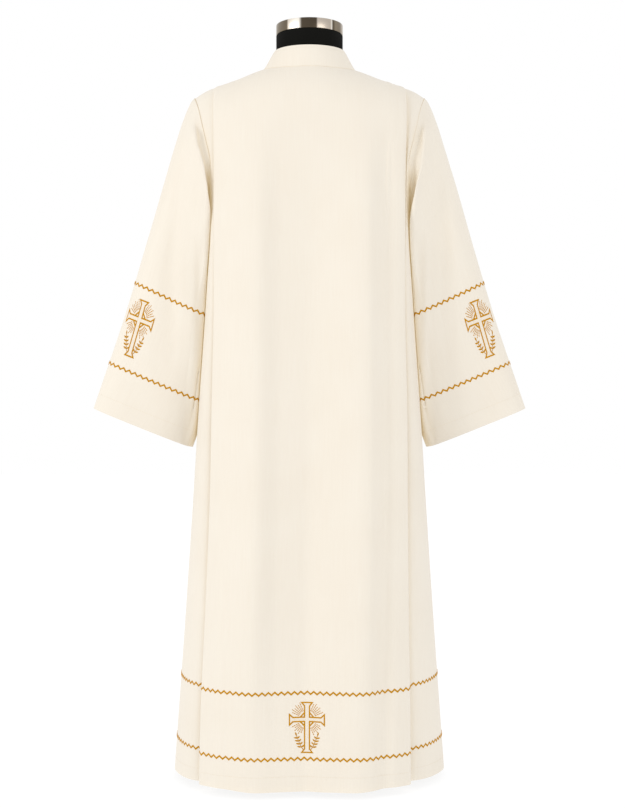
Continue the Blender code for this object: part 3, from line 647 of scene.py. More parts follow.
def folded(grid, folds, sleeve=False):
    """The grid with each fold's lift added along its normals, on a sleeve only towards the back."""
    normals = normals_of(grid, closed=sleeve)
    lift = np.zeros(grid.shape[:2])
    for (x0, z0), (x1, z1), (to_left, to_right), high, (fade_top, fade_low) in folds:
        share = (z0 - grid[..., 2]) / (z0 - z1)
        aside = grid[..., 0] - x0 - (x1 - x0) * np.clip(share, 0, 1)
        wide = np.where(aside < 0, to_left, to_right)
        ends = ease((z0 - grid[..., 2]) / fade_top) * ease((grid[..., 2] - z1) / fade_low + 1)
        lift += high * ends * np.exp(-((aside / wide) ** 2))
    if sleeve:
        lift *= ease((0.15 - normals[..., 1]) / 0.5)
    return grid + normals * lift[..., None]


def body_folds(grid, columns, folds):
    """Folds on the middle panel, fading out before the EDGE, and the lean of the pleats."""
    away = columns_away(columns)
    middle_panel = ease((len(LOW_COLUMNS) + 0.5 - away) / 2)[:, None]
    bent = grid + (folded(grid, folds) - grid) * middle_panel
    beside = ease((COLUMNS - 1 - away) / (COLUMNS - 1 - EDGE_COLUMN))
    bent[..., 0] += LEAN * ease((LEAN_FROM - grid[..., 2]) / (LEAN_FROM - HEM_Z)) * beside
    return bent


back_points = body_folds(back_hung, back_columns, FOLDS["back"])
front_points = body_folds(front_hung, front_columns, FOLDS["front"])
right_points = folded(right_hung, FOLDS["right"], sleeve=True)
left_points = folded(left_hung, FOLDS["left"], sleeve=True)


# %% [markdown]
# `lay_cloth` starts from a flat grid and moves each point to its place. The UV map holds the flat
# lengths, so that a weave keeps its scale, and Solidify gives the cloth its thickness.

# %% Laying the cloth
def flat_lengths(grid):
    """How far each point is along its row from the row's middle, and down its column, in metres."""
    steps = np.nan_to_num(np.linalg.norm(np.diff(grid, axis=1), axis=2))
    u = np.pad(np.cumsum(steps, axis=1), ((0, 0), (1, 0)))
    u -= u[:, [grid.shape[1] // 2]]
    falls = np.nanmean(np.linalg.norm(np.diff(grid, axis=0), axis=2), axis=1)
    v = -np.append(0, np.cumsum(falls))
    return u * MM, np.broadcast_to(v[:, None] * MM, u.shape)


def add_grid(shape, grid, layer, u, v, gone=()):
    """Adds a flat grid and moves its points to these places. The cells `gone` are left out."""
    rows, columns = grid.shape[0] - 1, grid.shape[1] - 1
    made = bmesh.ops.create_grid(shape, x_segments=columns, y_segments=rows, size=0.5)["verts"]
    place = {vert: (round((0.5 - vert.co.y) * rows), round((vert.co.x + 0.5) * columns)) for vert in made}
    holes = []
    for face in {face for vert in made for face in vert.link_faces}:
        corner = min(place[vert] for vert in face.verts)
        if corner in gone or any(not np.isfinite(grid[place[vert]][0]) for vert in face.verts):
            holes.append(face)
            continue
        for loop in face.loops:
            loop[layer].uv = u[place[loop.vert]], v[place[loop.vert]]
    bmesh.ops.delete(shape, geom=holes, context="FACES")
    for vert, at in place.items():
        if vert.is_valid:
            vert.co = Vector(grid[at]) * MM


def piece_of(shape, name, material, thickness=None, offset=0):
    """The mesh as a piece of the alb that rides with the frame, with a thickness in mm."""
    for face in shape.faces:
        face.smooth = True
    for edge in shape.edges:
        edge.smooth = not edge.is_boundary
    mesh = bpy.data.meshes.new(name)
    shape.to_mesh(mesh)
    shape.free()
    mesh.materials.append(material)
    piece = in_scene(name, mesh)
    if thickness:
        solid = piece.modifiers.new("thickness", "SOLIDIFY")
        solid.thickness = thickness * MM
        solid.offset = offset
    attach(piece, "root")
    print(name, len(mesh.polygons), "faces")
    return piece


def lay_cloth(name, grid, thickness, closed=False, cut=()):
    """A piece of cloth of this grid, without the (row, column) cells `cut`."""
    cloth = bmesh.new()
    layer = cloth.loops.layers.uv.new("flat")
    add_grid(cloth, grid, layer, *flat_lengths(grid), set(cut))
    if closed:
        bmesh.ops.remove_doubles(cloth, verts=cloth.verts, dist=1e-6)
    return piece_of(cloth, name, cream_cloth, thickness)


# %% [markdown]
# A finish is a Principled BSDF whose inputs are set, with a few nodes for what changes over the
# piece. Small functions add the nodes, and colours are the hex values of the real things, except
# where painted shade, a painted glow or painted reflections are said to stand in for light.

# %% Nodes and colours
def linear(colour):
    srgb = [int(colour[i : i + 2], 16) / 255 for i in (1, 3, 5)]
    return (*[v / 12.92 if v <= 0.04045 else ((v + 0.055) / 1.055) ** 2.4 for v in srgb], 1.0)


def add(tree, kind, values=None, links=None, **attributes):
    """Adds a node: values and links go by the name or number of the input they set."""
    node = tree.nodes.new("ShaderNode" + kind)
    for key, value in attributes.items():
        setattr(node, key, value)
    for socket, value in (values or {}).items():
        node.inputs[socket].default_value = value
    for socket, source in (links or {}).items():
        tree.links.new(source, node.inputs[socket])
    return node


def finish(name, **settings):
    """A new material with its Principled BSDF set, and its node tree and shader."""
    material = bpy.data.materials.new(name)
    material.use_nodes = True
    shader = material.node_tree.nodes["Principled BSDF"]
    for key, value in settings.items():
        shader.inputs[key.replace("_", " ")].default_value = value
    return material, material.node_tree, shader


def noise(tree, at, scale, detail):
    return add(tree, "TexNoise", {"Scale": scale, "Detail": detail}, {"Vector": at}).outputs["Fac"]


def bands(tree, at, per_metre, way):
    """Even bands across one axis. A wave node has one in each 2 pi / 20 of its scaled coordinate."""
    scale = {"Scale": per_metre * 2 * np.pi / 20}
    return add(tree, "TexWave", scale, {"Vector": at}, bands_direction=way).outputs["Fac"]


def reckoned(tree, operation, *links):
    return add(tree, "Math", {}, dict(enumerate(links)), operation=operation).outputs[0]


def two_tones(tree, share, deep, light, socket):
    tones = {6: linear(deep), 7: linear(light)}
    tree.links.new(add(tree, "Mix", tones, {0: share}, data_type="RGBA").outputs[2], socket)


def relief(tree, shader, height, strength, deep):
    """Gives the surface a bump, `deep` metres from low to high."""
    bump = add(tree, "Bump", {"Strength": strength, "Distance": deep}, {"Height": height})
    tree.links.new(bump.outputs[0], shader.inputs["Normal"])


# %% [markdown]
# The cloth is a plain-woven blend of polyester and cotton in cream. Its threads are 0.45 mm apart,
# too fine to show from here, so the weave is drawn at 1.1 mm and kept shallow. Streaks along the
# threads and a slow drift of tone keep a wide panel from looking like paint.

# %% Cream poly-cotton
WEAVE = 1.1  # mm between threads as drawn
# Emission_Strength 1 lets the painted glow in the creases show
WOVEN = {"Roughness": 0.85, "Sheen_Weight": 0.15, "Sheen_Roughness": 0.5, "Emission_Strength": 1}
cream_cloth, tree, shader = finish("cream plain-woven poly-cotton", **WOVEN)
uv = add(tree, "UVMap", uv_map="flat").outputs[0]
along = add(tree, "Mapping", {"Scale": (420, 14, 1)}, {"Vector": uv}).outputs[0]
both = reckoned(tree, "ADD", noise(tree, along, 1, 2), noise(tree, uv, 9, 2))
tone = add(tree, "MapRange", {"From Min": 0.7, "From Max": 1.3}, {"Value": both}).outputs[0]
two_tones(tree, tone, "#DFD7CA", "#E1DACE", shader.inputs["Base Color"])
crossing = reckoned(tree, "MAXIMUM", *[bands(tree, uv, 1000 / WEAVE, way) for way in "XY"])
relief(tree, shader, crossing, 0.10, 0.0002)
# painted light: where ambient occlusion finds a narrow crease between two layers, a warm tan glow is
# added, standing in for the light that thin cloth lets through
in_open = add(tree, "AmbientOcclusion", {"Distance": 0.03}, samples=8).outputs["AO"]
two_tones(tree, in_open, "#625537", "#000000", shader.inputs["Emission Color"])
cream_cloth.cycles.emission_sampling = "NONE"

# %% The body and the sleeves
SLIT_ROWS = NOTCH + 1
slit_column = front_cut.shape[1] // 2 - 1
slit_rows = np.flatnonzero(body_rows[:-1] < SLIT_ROWS)
slit = [(r, c) for r in slit_rows for c in np.flatnonzero(np.floor(front_columns[:-1]) == slit_column)]
back = lay_cloth("alb_back", back_points, CLOTH)
front = lay_cloth("alb_front", front_points, CLOTH, cut=slit)
sleeve_right = lay_cloth("alb_sleeve_right", right_points, CLOTH, closed=True)
sleeve_left = lay_cloth("alb_sleeve_left", left_points, CLOTH, closed=True)

# %% [markdown]
# The placket is a plain strip over the upper end of the opening on the front. Its points are read
# off the front's own rows and lifted along their normals, so that it lies flat on the cloth.

# %% Placket
PLACKET_HALF, PLACKET_CLOTH, PLACKET_PROUD, PLACKET_END = 17, 1.2, 0.35, 0.35


def read(at, reach, values):
    """The rows of values, which lie at `reach`, read at other places."""
    return np.stack([np.interp(at, reach, one) for one in np.asarray(values).T], axis=-1)


front_normals = normals_of(front_points)
strip_x = np.linspace(PLACKET_HALF, -PLACKET_HALF, 11)
strip, strip_out = [], []
for r in np.flatnonzero((body_rows >= 1) & (body_rows <= SLIT_ROWS + PLACKET_END)):
    near = [c for c in np.argsort(front_points[r, :, 0]) if abs(front_points[r, c, 0]) < 40]
    strip.append(read(strip_x, front_points[r, near, 0], front_points[r, near]))
    strip_out.append(read(strip_x, front_points[r, near, 0], front_normals[r, near]))
strip, strip_out = np.array(strip), unit(np.array(strip_out))
strip += strip_out * (CLOTH / 2 + GAP + PLACKET_PROUD + PLACKET_CLOTH / 2)
placket = lay_cloth("alb_placket", strip, PLACKET_CLOTH)

# %% [markdown]
# The stand collar is a band of two layers with a stiffening between them. Its lower edge follows the
# neckline and its upper edge the form's round neck. Between the two it is a little hollow below and
# full above.

# %% Collar
COLLAR_CLOTH, COLLAR_SWELL, COLLAR_ROWS = 2.4, 0.3, 14
COLLAR_TOP_R, COLLAR_TOP_Z, COLLAR_DROPS = 69.6, 1439.8, (0.4, 15)


def neckline(points):
    """The points of a panel's top row between the two neck points."""
    line = points[0][np.isfinite(points[0, :, 0])]
    line = line[np.abs(line[:, 0]) < NECK_HALF[0] + 0.5]
    return line[np.argsort(line[:, 0])]


def collar_grid():
    """Once round from the middle of the front, with rows running down."""
    ahead, behind = neckline(front_points), neckline(back_points)
    half = len(ahead) // 2
    ring = np.concatenate([ahead[half:], behind[::-1][1:-1], ahead[:half]])
    ring[np.abs(ring[:, 0]) > NECK_HALF[0] - 0.5, 1] = 0
    columns = []
    for point in ring:
        angle = np.arctan2(point[1], point[0])
        drop = COLLAR_DROPS[0] if angle < 0 else COLLAR_DROPS[1]
        top = np.array((np.cos(angle) * COLLAR_TOP_R, np.sin(angle) * COLLAR_TOP_R, COLLAR_TOP_Z))
        top[2] -= drop * np.sin(angle) ** 2
        if abs(point[0]) < 2 and point[1] > 0:
            top[0] = point[0]
        foot = point + unit(top - point) * GAP * 1.3
        swell = unit(point * (1, 1, 0) + (0, 0, 30)) * COLLAR_SWELL
        shares = np.linspace(1, 0, COLLAR_ROWS)
        columns.append([foot + (top - foot) * s - swell * np.sin(2 * np.pi * s) for s in shares])
    return np.array(columns[::-1]).transpose(1, 0, 2)


collar_points = collar_grid()
collar = lay_cloth("alb_collar", collar_points, COLLAR_CLOTH)
print("top of the collar, mm:", collar_points[..., 2].max().round(1))

# %% [markdown]
# The dress form is foam under a tight cover of black jersey: circles, stretched to each height's
# half width and depth, and bridged. Only its neck shows from behind, but a look through the sleeves
# or under the hem meets the rest.

# %% Black jersey
black_jersey, tree, shader = finish("black knitted jersey", Roughness=0.95, Specular_IOR_Level=0.1)
at = add(tree, "TexCoord").outputs["Object"]
two_tones(tree, noise(tree, at, 30, 3), "#0A0A09", "#12120F", shader.inputs["Base Color"])
# rows of loops, 625 to a metre as drawn, run round the form
relief(tree, shader, bands(tree, at, 625, "Z"), 0.25, 0.0004)

# %% Body of the form
NECK_R, NECK_TOP, AROUND = 66.5, 1473.7, 96
TORSO = np.array([
    # z, half width, half depth, middle y
    (752, 146, 94, 2),
    (757, 158, 104, 2),
    (775, 167, 110, 2),
    (835, 171, 111, 2),
    (930, 148, 97, 2),
    (1020, 131, 87, 3),
    (1100, 143, 93, 4),
    (1190, 161, 102, 4),
    (1250, 171, 103, 2),
    (1295, 184, 97, 0),
    (1325, 196, 86, -1),
    (1342, 196, 76, -2),
    (1354, 181, 69, -2),
    (1365, 154, 66, -1.5),
    (1376, 124, 65, -1),
    (1387, 96, 66, -0.5),
    (1398, 75, 66.5, 0),
    (1408, NECK_R, NECK_R, 0),
])


def lofted(name, sections, material):
    """Circles at each (z, half width, half depth, y), bridged into one closed solid."""
    shape = bmesh.new()
    loops = []
    for z, wide, deep, y in sections:
        made = bmesh.ops.create_circle(shape, segments=AROUND, radius=MM)["verts"]
        bmesh.ops.scale(shape, verts=made, vec=(wide, deep, 1))
        bmesh.ops.translate(shape, verts=made, vec=(0, y * MM, z * MM))
        loops.append(list({edge for vert in made for edge in vert.link_edges}))
    for lower, upper in zip(loops, loops[1:]):
        bmesh.ops.bridge_loops(shape, edges=lower + upper)
    for end in (loops[0], loops[-1]):
        bmesh.ops.edgeloop_fill(shape, edges=end)
    bmesh.ops.recalc_face_normals(shape, faces=shape.faces)
    return piece_of(shape, name, material)


fine_z = np.concatenate([np.linspace(a, b, 4)[:-1] for a, b in zip(TORSO[:-1, 0], TORSO[1:, 0])])
sections = [(z, *row_at(TORSO, z)) for z in fine_z]
sections += [(z, NECK_R, NECK_R, 0) for z in (1408, 1430, 1452, NECK_TOP - 1.2)]
sections += [(NECK_TOP, NECK_R - 1, NECK_R - 1, 0)]
torso = lofted("form_body", sections, black_jersey)
torso.data.set_sharp_from_angle(angle=np.radians(40))

# %% [markdown]
# The neck ends in a steel cap that was brushed while it turned. Such steel throws light back in
# upright bands, but a white studio has nothing dark for it to reflect, so its bands are painted
# reflections in the base colour, drawn by the angle round the axis. The foot and the pole keep their
# solids and take the same steel with its painted reflections.

# %% Brushed steel
STEEL_PAINTED_REFLECTIONS = (
    # share of a turn, counted from the front middle round to it again, and the tone of the painted
    # reflection
    (0, "#6E6352"), (0.040, "#E6DFD2"), (0.150, "#B0A491"), (0.235, "#93887A"), (0.262, "#B4A99A"),
    (0.300, "#857A69"), (0.385, "#6A5F4F"), (0.392, "#D8CEC0"), (0.432, "#F4EEE4"), (0.449, "#F4EEE4"),
    (0.462, "#51483C"), (0.534, "#4B4237"), (0.538, "#BCB2A7"), (0.608, "#B4A99C"), (0.615, "#F6F0E6"),
    (0.620, "#4A4033"), (0.640, "#857A69"), (0.680, "#786C5C"), (0.715, "#B5AA9B"), (0.760, "#A2968A"),
    (0.850, "#D8CFC0"), (0.930, "#8A7E6D"), (1, "#6E6352"),
)
brushed_steel, tree, shader = finish("brushed steel", Metallic=1, Roughness=0.34)
at = add(tree, "TexCoord").outputs["Object"]
apart = add(tree, "SeparateXYZ", {}, {"Vector": at}).outputs
turn = reckoned(tree, "ARCTAN2", apart["X"], apart["Y"])
to_share = {"From Min": -np.pi, "From Max": np.pi, "To Min": 1, "To Max": 0}
round_share = add(tree, "MapRange", to_share, {"Value": turn}).outputs[0]
half_turn = add(tree, "Math", {1: 0.5}, {0: round_share}, operation="ADD").outputs[0]
ramp = add(tree, "ValToRGB", {}, {"Fac": reckoned(tree, "FRACT", half_turn)})
stops = ramp.color_ramp.elements
for place, tone in STEEL_PAINTED_REFLECTIONS[1:-1]:
    stops.new(place).color = linear(tone)
stops[0].color = stops[-1].color = linear(STEEL_PAINTED_REFLECTIONS[0][1])
# the painted reflection bands become the steel's base colour
tree.links.new(ramp.outputs[0], shader.inputs["Base Color"])
# brush lines, 0.5 mm apart as drawn, run round the cap and stay at one height
lines = add(tree, "Mapping", {"Scale": (6, 6, 2000)}, {"Vector": at}).outputs[0]
relief(tree, shader, noise(tree, lines, 1, 2), 0.12, 0.0001)

CAP_FOOT, CAP_TOP = 1474, 1494.5
cap_rings = ((CAP_FOOT, 65.6), (CAP_FOOT + 0.3, 66.2), (CAP_FOOT + 1.1, 66.5), (CAP_TOP - 1.3, 66.5))
cap_rings += ((CAP_TOP - 0.4, 66.1), (CAP_TOP, 65.2), (CAP_TOP - 0.5, 58), (CAP_TOP - 0.6, 20))
cap = lofted("form_cap", [(z, r, r, 0) for z, r in cap_rings], brushed_steel)
cap.data.set_sharp_from_angle(angle=np.radians(50))
for node in ("form_pole", "form_base"):
    for material_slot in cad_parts[node].material_slots:
        material_slot.material = brushed_steel

# %% [markdown]
# Embroidery follows the cloth, so it needs a map of it: how far along and how high up a stitch lies.
# `level_map` reads the cloth along level lines, which on a sleeve run side by side with the edge of
# the cuff. Each line is measured from a plumb plane, so that an emblem stays upright.

# %% A map of the cloth
def level_map(points, heights, levels, origin, ahead, closed=False):
    """For each level, the line where the cloth crosses it: distances, and places with normals."""
    both = np.concatenate([points, normals_of(points, closed)], axis=2)
    every = np.arange(points.shape[1])
    lines = []
    for level in levels:
        r = np.argmax(heights < level, axis=0)
        over, under = heights[r - 1, every], heights[r, every]
        t = ((over - level) / (over - under))[:, None]
        line = both[r - 1, every] * (1 - t) + both[r, every] * t
        line[:, 3:] = unit(line[:, 3:])
        reach, side = reach_of(line[:, :3]), (line[:, :3] - origin) @ ahead
        crossings = np.flatnonzero(np.sign(side[:-1]) != np.sign(side[1:]))
        i = min(crossings, key=lambda c: np.linalg.norm(line[c, :3] - origin))
        reach = reach - np.interp(0, *zip(*sorted(zip(side[i : i + 2], reach[i : i + 2]))))
        if side[i + 1] < side[i]:
            reach, line = -reach[::-1], line[::-1]
        lines.append((reach, line))
    return levels, lines


def on_cloth(cloth_map, along, high):
    """Places and normals on the cloth, `along` mm from the plumb plane at the level `high`."""
    levels, lines = cloth_map
    along, high = np.broadcast_arrays(np.asarray(along, float), np.asarray(high, float))
    k = np.clip(np.searchsorted(levels, high) - 1, 0, len(levels) - 2)
    t = ((high - levels[k]) / (levels[k + 1] - levels[k]))[..., None]
    found = np.zeros((*along.shape, 6))
    for number in np.unique(k):
        here = k == number
        low, up = [read(along[here], *line) for line in lines[number : number + 2]]
        found[here] = low * (1 - t[here]) + up * t[here]
    return found[..., :3], unit(found[..., 3:])


def reach_at(cloth_map, level):
    """How far each point of the nearest level line is from the plumb plane."""
    return cloth_map[1][int(np.argmin(np.abs(cloth_map[0] - level)))][0]


HEM_LEVELS, CUFF_LEVELS = np.arange(24, 216, 4.0), np.arange(20, 281, 4.0)
EMBLEM_X, EMBLEM_Z = -4.2, 145.3
CUFF_AT, SLEEVE_EMBLEM = np.array((433, 0, 730)), np.array((336.5, -60, 905))
CUFF_UP, CUFF_ALONG = np.array((-0.375, 0, 0.928)), np.array((0.928, 0, 0.375))
maps = {}
for where, points, side in (("back", back_points, -1), ("front", front_points, 1)):
    part = points[body_rows >= NOTCH + MID_ROWS]
    origin = np.array((EMBLEM_X, 150 * side, EMBLEM_Z))
    maps[where] = level_map(part, part[..., 2], HEM_LEVELS, origin, np.array((1, 0, 0)))
for where, points, side in (("right", right_points, 1), ("left", left_points, -1)):
    mirror = np.array((side, 1, 1))
    part = points[sleeve_rows >= 9.5]
    above_cuff = (part * mirror - CUFF_AT) @ CUFF_UP
    origin, ahead = SLEEVE_EMBLEM * mirror, CUFF_ALONG * mirror * side
    maps[where] = level_map(part, above_cuff, CUFF_LEVELS, origin, ahead, closed=True)
for where, cloth_map in maps.items():
    print("round the", where, "m:", round(float(np.ptp(cloth_map[1][5][0])) * MM, 3))

# %% [markdown]
# The gold rows are satin stitch: rayon thread laid side by side across a line until it is covered.
# So each line is a low, round-topped ribbon, 3 mm wide, and its UV map counts along it, which lays
# the threads across it.

# %% Gold rayon thread
THREAD_PITCH = 0.8  # mm between threads as drawn


def satin_thread(name, deep, bright, roughness):
    """Thread laid side by side across a ribbon's length, painted darker in its grooves and lighter on its
    crowns.
    """
    material, tree, shader = finish(name, Roughness=roughness, Specular_IOR_Level=0.05)
    uv = add(tree, "UVMap", uv_map="flat").outputs[0]
    laid = bands(tree, uv, 1000 / THREAD_PITCH, "X")
    # the tone follows the threads' bump: painted shade in the grooves and a painted highlight on the
    # crowns, with random tone from the noise
    tone = reckoned(tree, "MULTIPLY", laid, noise(tree, uv, 700, 1))
    spread = add(tree, "MapRange", {"From Min": 0.05, "From Max": 0.6}, {"Value": tone})
    two_tones(tree, spread.outputs[0], deep, bright, shader.inputs["Base Color"])
    relief(tree, shader, laid, 0.5, 0.0003)
    return material


# each thread's pair of tones is its colour with painted groove shade and with a painted crown highlight
gold_thread = satin_thread("gold rayon satin stitch", "#A67400", "#DEA000", 0.42)
fine_gold = satin_thread("fine gold running stitch", "#AA7600", "#E0A200", 0.45)
cream_satin = satin_thread("cream rayon satin stitch", "#DDD3C3", "#EEE6D9", 0.5)
cream_stitch = satin_thread("cream sewing thread", "#D8CDBB", "#E6DDCF", 0.7)
# the holes of the armhole's stitches look darker than the cloth round them, so this cream thread is made
# tan: painted shade of its needle holes
needle_hole_shade_thread = satin_thread("cream thread with painted needle-hole shade", "#BDA67F", "#D2BE9C", 0.7)

# %% Ribbons of thread
ROUND_TOP = np.array((-1, -0.55, 0, 0.55, 1))
CROWN = np.sqrt(1 - ROUND_TOP**2 * 0.98)
THREAD_BACK, THREAD_CLEAR = 0.45, 0.04  # mm that a ribbon reaches back into the cloth, and stands off it


def add_ribbon(shape, layer, place, normal, high):
    """Adds a ribbon, whose five columns cross it, lifted off the cloth."""
    lifted = place + normal * (CLOTH / 2 + THREAD_CLEAR + high * CROWN)[None, :, None]
    wide = np.linalg.norm(place[:, -1] - place[:, 0], axis=1).mean() * MM
    across = (ROUND_TOP + 1) / 2 * wide
    if np.cross(lifted[1, 2] - lifted[0, 2], lifted[0, 3] - lifted[0, 2]) @ normal[0, 2] < 0:
        lifted, across = lifted[:, ::-1], across[::-1]
    u, v = np.meshgrid(reach_of(place[:, 2]) * MM, across, indexing="ij")
    add_grid(shape, lifted, layer, u, v)


def sewn(name, ribbons, material, closed=False):
    """One piece of thread from (places, normals, height) ribbons."""
    shape = bmesh.new()
    layer = shape.loops.layers.uv.new("flat")
    for ribbon_of in ribbons:
        add_ribbon(shape, layer, *ribbon_of)
    if closed:
        bmesh.ops.remove_doubles(shape, verts=shape.verts, dist=1e-6)
    return piece_of(shape, name, material, THREAD_BACK, offset=-1)


# %% Zigzag rows
ZIG_WAVE, ZIG_HALF, ZIG_WIDE, ZIG_HIGH, ZIG_STEPS = 12.5, 2.6, 3, 0.75, 8
HEM_ROWS_AT, HEM_RISE = (72.4, 194.2), 12
CUFF_ROWS_AT, CUFF_TILTS = (96.1, 261), (1.5, 5)


def zigzag(cloth_map, level, rise=0, tilt=0):
    """A zigzag ribbon along one whole level, which may rise to both ends or go round atilt."""
    reach = reach_at(cloth_map, level)
    waves = int(round(np.ptp(reach) / ZIG_WAVE))
    along = np.linspace(reach[0] + 0.4, reach[-1] - 0.4, waves * ZIG_STEPS + 1)
    peak = 1 - 4 * np.abs(np.arange(len(along)) / ZIG_STEPS % 1 - 0.5)
    slope = np.hypot(ZIG_WAVE / 2, 2 * ZIG_HALF) / (ZIG_WAVE / 2)
    high = level + rise * (along / np.abs(reach).max()) ** 2 + ZIG_HALF * peak
    high -= tilt * np.sin(2 * np.pi * along / np.ptp(reach))
    places = on_cloth(cloth_map, along[:, None], high[:, None] + ROUND_TOP * ZIG_WIDE / 2 * slope)
    return *places, ZIG_HIGH


for where in ("back", "front"):
    rows = [zigzag(maps[where], level, HEM_RISE) for level in HEM_ROWS_AT]
    sewn(f"alb_zigzag_{where}", rows, gold_thread)
for where, side in (("right", 1), ("left", -1)):
    rows = [zigzag(maps[where], level, 0, -side * tilt) for level, tilt in zip(CUFF_ROWS_AT, CUFF_TILTS)]
    sewn(f"alb_zigzag_sleeve_{where}", rows, gold_thread, closed=True)

# %% [markdown]
# The emblem is a traditional one: a cross with flared ends, filled in cream satin stitch and
# outlined in gold, a ring and rays of fine stitches between its arms, and a sprig of leaves to each
# side of its foot. It is drawn on a sheet in millimetres and laid on the cloth through the map.

# %% Drawing the emblem
SHAFT, ARM, FLARE, END = 4.7, 3.9, 10.2, 6.4
UP, DOWN, OUT = 31, 61, 33.6
ARM_FLARE = FLARE - 0.4
RING, RING_IN, STITCH, STITCH_PITCH = 15.4, 3.2, 2.9, 3.9
LINE_HALF, FINE_HALF, STEM_HALF, LEAF_HALF = 1.3, 0.7, 0.55, 1.5


def ribbon(line, half, closed=False):
    """Five points across at each point of a line on the sheet, with corners cut square."""
    ahead = unit(np.diff(line, axis=0))
    before = np.concatenate([ahead[-1:] if closed else ahead[:1], ahead])
    after = np.concatenate([ahead, ahead[:1] if closed else ahead[-1:]])
    mitre = unit((before + after)[:, ::-1] * (-1, 1))
    square = np.clip(np.abs(np.sum(mitre * after[:, ::-1] * (-1, 1), axis=1)), 0.45, 1)
    across = mitre * (np.broadcast_to(half, len(line)) / square)[:, None]
    return line[:, None] + across[:, None] * ROUND_TOP[None, :, None]


def straight(start, way, reach):
    """Points on the sheet at these distances from a start, in a direction given in degrees."""
    return start + np.outer(reach, (np.cos(np.radians(way)), np.sin(np.radians(way))))


def leaf(base, way, length):
    """A pointed leaf: a ribbon that widens and closes again."""
    t = np.linspace(0, 1, 7)
    half = np.maximum(LEAF_HALF * np.sin(np.pi * t) ** 0.8, 0.12)
    return ribbon(straight(base, way, t * length), half)


def bar(length, flare, half, low, count):
    """A flared bar of the cross: places along it, from `low` on, and half widths there."""
    t = np.linspace(low, length - 1.2, count)
    return t, half + (flare - half) * ease((t - length + END) / END) - 0.3


upper = [(OUT, ARM_FLARE), (OUT - END, ARM), (SHAFT, ARM), (SHAFT, UP - END), (FLARE, UP)]
lower = [(FLARE, -DOWN), (SHAFT, END - DOWN), (SHAFT, -ARM), (OUT - END, -ARM), (OUT, -ARM_FLARE)]
other_side = [(-x, y) for x, y in upper[::-1] + lower[::-1]]
corners = np.array([*upper, *other_side, *lower, upper[0]])
outline = []
for a, b in zip(corners, corners[1:]):
    count = int(np.ceil(np.linalg.norm(b - a) / 3))
    outline += [a + (b - a) * i / count for i in range(count)]
gold_lines, fine_lines = [ribbon(np.array([*outline, corners[0]]), LINE_HALF, closed=True)], []
arc = np.linspace(20, 70, 9)
bowed_in = RING - RING_IN * np.sin(2 * np.radians(arc))
for start in (0, 90, 180, 270):
    bow = np.concatenate([straight(0, start + a, r) for a, r in zip(arc, bowed_in)])
    gold_lines.append(ribbon(bow, LINE_HALF))
    for number, degrees in enumerate(np.linspace(25, 65, 6)):
        far = (33.5 if start < 180 else 31.5) - 3 * (number % 2)
        for near in np.arange(RING + 1.6, far, STITCH_PITCH):
            ends = (near, min(near + STITCH, far + 0.6))
            fine_lines.append(ribbon(straight(0, start + degrees, ends), FINE_HALF))
for side in (-1, 1):
    t = np.linspace(0, 1, 9)
    stem = np.stack([side * (7.6 + 12.5 * t**0.8), -55.5 + 25.5 * t], axis=1)
    gold_lines.append(ribbon(stem, STEM_HALF))
    for at in (0.16, 0.38, 0.60, 0.82):
        for lean, long in ((-18, 9), (112, 7)):
            way = lean + 30 if side > 0 else 150 - lean
            gold_lines.append(leaf(read(at, t, stem), way, long * (1 - 0.25 * at)))
    gold_lines.append(leaf(stem[-1], 90 - 20 * side, 7))
t, up_half = bar(UP, FLARE, SHAFT, -DOWN + 1.2, 33)
up_half += (FLARE - SHAFT) * ease((-DOWN + END - t) / END)
satin = [ribbon(np.stack([0 * t, t], axis=1), up_half)]
t, arm_half = bar(OUT, ARM_FLARE, ARM, SHAFT - 0.9, 13)
satin += [ribbon(np.stack([side * t, 0 * t], axis=1), arm_half) for side in (-1, 1)]
print("ribbons in an emblem:", len(gold_lines), len(fine_lines), len(satin))

# %% Laying the emblem on the cloth
EMBLEM_PARTS = (
    ("gold", gold_lines, 0.8, gold_thread),
    ("rays", fine_lines, 0.45, fine_gold),
    ("satin", satin, 0.4, cream_satin),
)
SLEEVE_LEVEL = float((SLEEVE_EMBLEM * (1, 0, 1) - CUFF_AT) @ CUFF_UP)
WIDE, TALL, LEAN_OUT = 0.88, 1.22, 0.12
LAID = {
    "back": (EMBLEM_Z, 1, 1, 0),
    "right": (SLEEVE_LEVEL, WIDE, TALL, LEAN_OUT),
    "left": (SLEEVE_LEVEL, WIDE, TALL, -LEAN_OUT),
}


def laid(line, where, high):
    """A ribbon of the sheet as it lies on one of the maps."""
    level, wide, tall, lean = LAID[where]
    x, y = line[..., 0], line[..., 1]
    return *on_cloth(maps[where], x * wide + y * lean, level + y * tall), high


emblems = {
    where: [
        sewn(f"alb_emblem_{where}_{part}", [laid(line, where, high) for line in lines], thread)
        for part, lines, high, thread in EMBLEM_PARTS
    ]
    for where in LAID
}

# %% [markdown]
# The sleeves are set in with a row of stitches that cross the seam, and single rows hold the hem, the
# cuffs, the placket and the top of the collar. Each stitch is a short ribbon, so a seam shows as a
# dotted line.

# %% Stitches
HEM_SEWN_AT, CUFF_SEWN_AT = 40, 32


def stitches(line, normals, pitch, long, wide, high):
    """Short ribbons at even steps along a line on the cloth."""
    reach = reach_of(line)
    count = int(reach[-1] // pitch)
    made = []
    for at in (np.arange(count) + 0.5) * reach[-1] / count:
        along = at + np.array((-0.5, 0, 0.5)) * long
        place, out = read(along, reach, line), unit(read(along, reach, normals))
        across = unit(np.cross(out, np.gradient(place, axis=0)))
        body = place[:, None] + across[:, None] * (ROUND_TOP * wide / 2)[None, :, None]
        made.append((body, np.repeat(out[:, None], 5, 1), high))
    return made


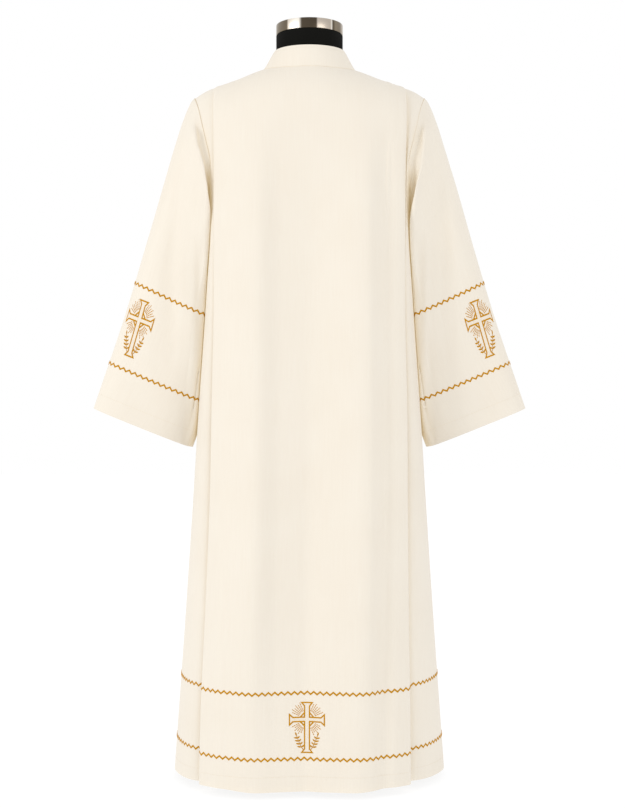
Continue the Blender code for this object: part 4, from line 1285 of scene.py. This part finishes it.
armholes, hem_sewing = {}, {}
# the armhole's stitches carry the painted shade of their needle holes
for where, points in (("right", right_points), ("left", left_points)):
    crossed = stitches(points[0], normals_of(points, closed=True)[1], 4.8, 2.4, 1.3, 0.4)
    armholes[where] = sewn(f"alb_stitches_armhole_{where}", crossed, needle_hole_shade_thread)
both_sides = [one for c in (1, 9) for one in stitches(strip[:, c], strip_out[:, c], 4, 2.8, 0.6, 0.1)]
placket_sewing = sewn("alb_stitches_placket", both_sides, cream_stitch)
proud = 0.1 + (COLLAR_CLOTH - CLOTH) / 2
collar_line = stitches(collar_points[2], normals_of(collar_points)[2], 3.6, 2.6, 0.6, proud)
collar_sewing = sewn("alb_stitches_collar", collar_line, cream_stitch)
for where, cloth_map in maps.items():
    level = HEM_SEWN_AT if where in ("back", "front") else CUFF_SEWN_AT
    reach = reach_at(cloth_map, level)
    line = on_cloth(cloth_map, np.arange(reach[0] + 1, reach[-1] - 1, 5), level)
    row = stitches(*line, 4, 2.8, 0.7, 0.12)
    hem_sewing[where] = sewn(f"alb_stitches_hem_{where}", row, cream_stitch)

# %% The frame's own solids of the pieces made again are hidden
for piece, node in (
    (back, "back"), (front, "front"), (sleeve_right, "sleeve_right"), (sleeve_left, "sleeve_left"),
    (placket, "front_placket"), (collar, "collar"), (torso, "form_torso"), (cap, "form_neck_cap"),
):
    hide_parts(node)

# %% [markdown]
# The set is a white paper floor, an even white world and two soft lamps. The stronger one grazes the
# garment from the left, so that each soft fold has a lighter and a darker side.

# %% Floor, light and world
WHITE = (1, 1, 1, 1)
LOOK_AT = Vector((0, 0, 0.8))
paper = bmesh.new()
bmesh.ops.create_grid(paper, x_segments=1, y_segments=1, size=12)
floor = in_scene("floor", bpy.data.meshes.new("floor"))
paper.to_mesh(floor.data)
paper.free()
# the paper is lit from below as well, so that the garment throws next to no shadow on it
studio_white, tree, shader = finish("white studio paper", Roughness=1, Emission_Strength=0.86)
shader.inputs["Base Color"].default_value = linear("#6A6A6A")
shader.inputs["Emission Color"].default_value = WHITE
floor.data.materials.append(studio_white)

world = bpy.data.worlds.new("studio")
world.use_nodes = True
world.node_tree.nodes["Background"].inputs["Color"].default_value = WHITE
world.node_tree.nodes["Background"].inputs["Strength"].default_value = 1
bpy.context.scene.world = world
bpy.context.scene.view_settings.view_transform = "Standard"

LAMPS = (("key", (-3, -2, 1.5), (1, 1.8), 33), ("fill", (2.4, -3, 1.3), (1.6, 1.6), 20))
for name, at, size, watts in LAMPS:
    light = in_scene(name, bpy.data.lights.new(name, "AREA"))
    light.data.shape = "RECTANGLE"
    light.data.size, light.data.size_y = size
    light.data.energy = watts
    light.data.color = linear("#FFFBF4")[:3]
    light.location = at
    light.rotation_euler = (LOOK_AT - Vector(at)).to_track_quat("-Z", "Y").to_euler()
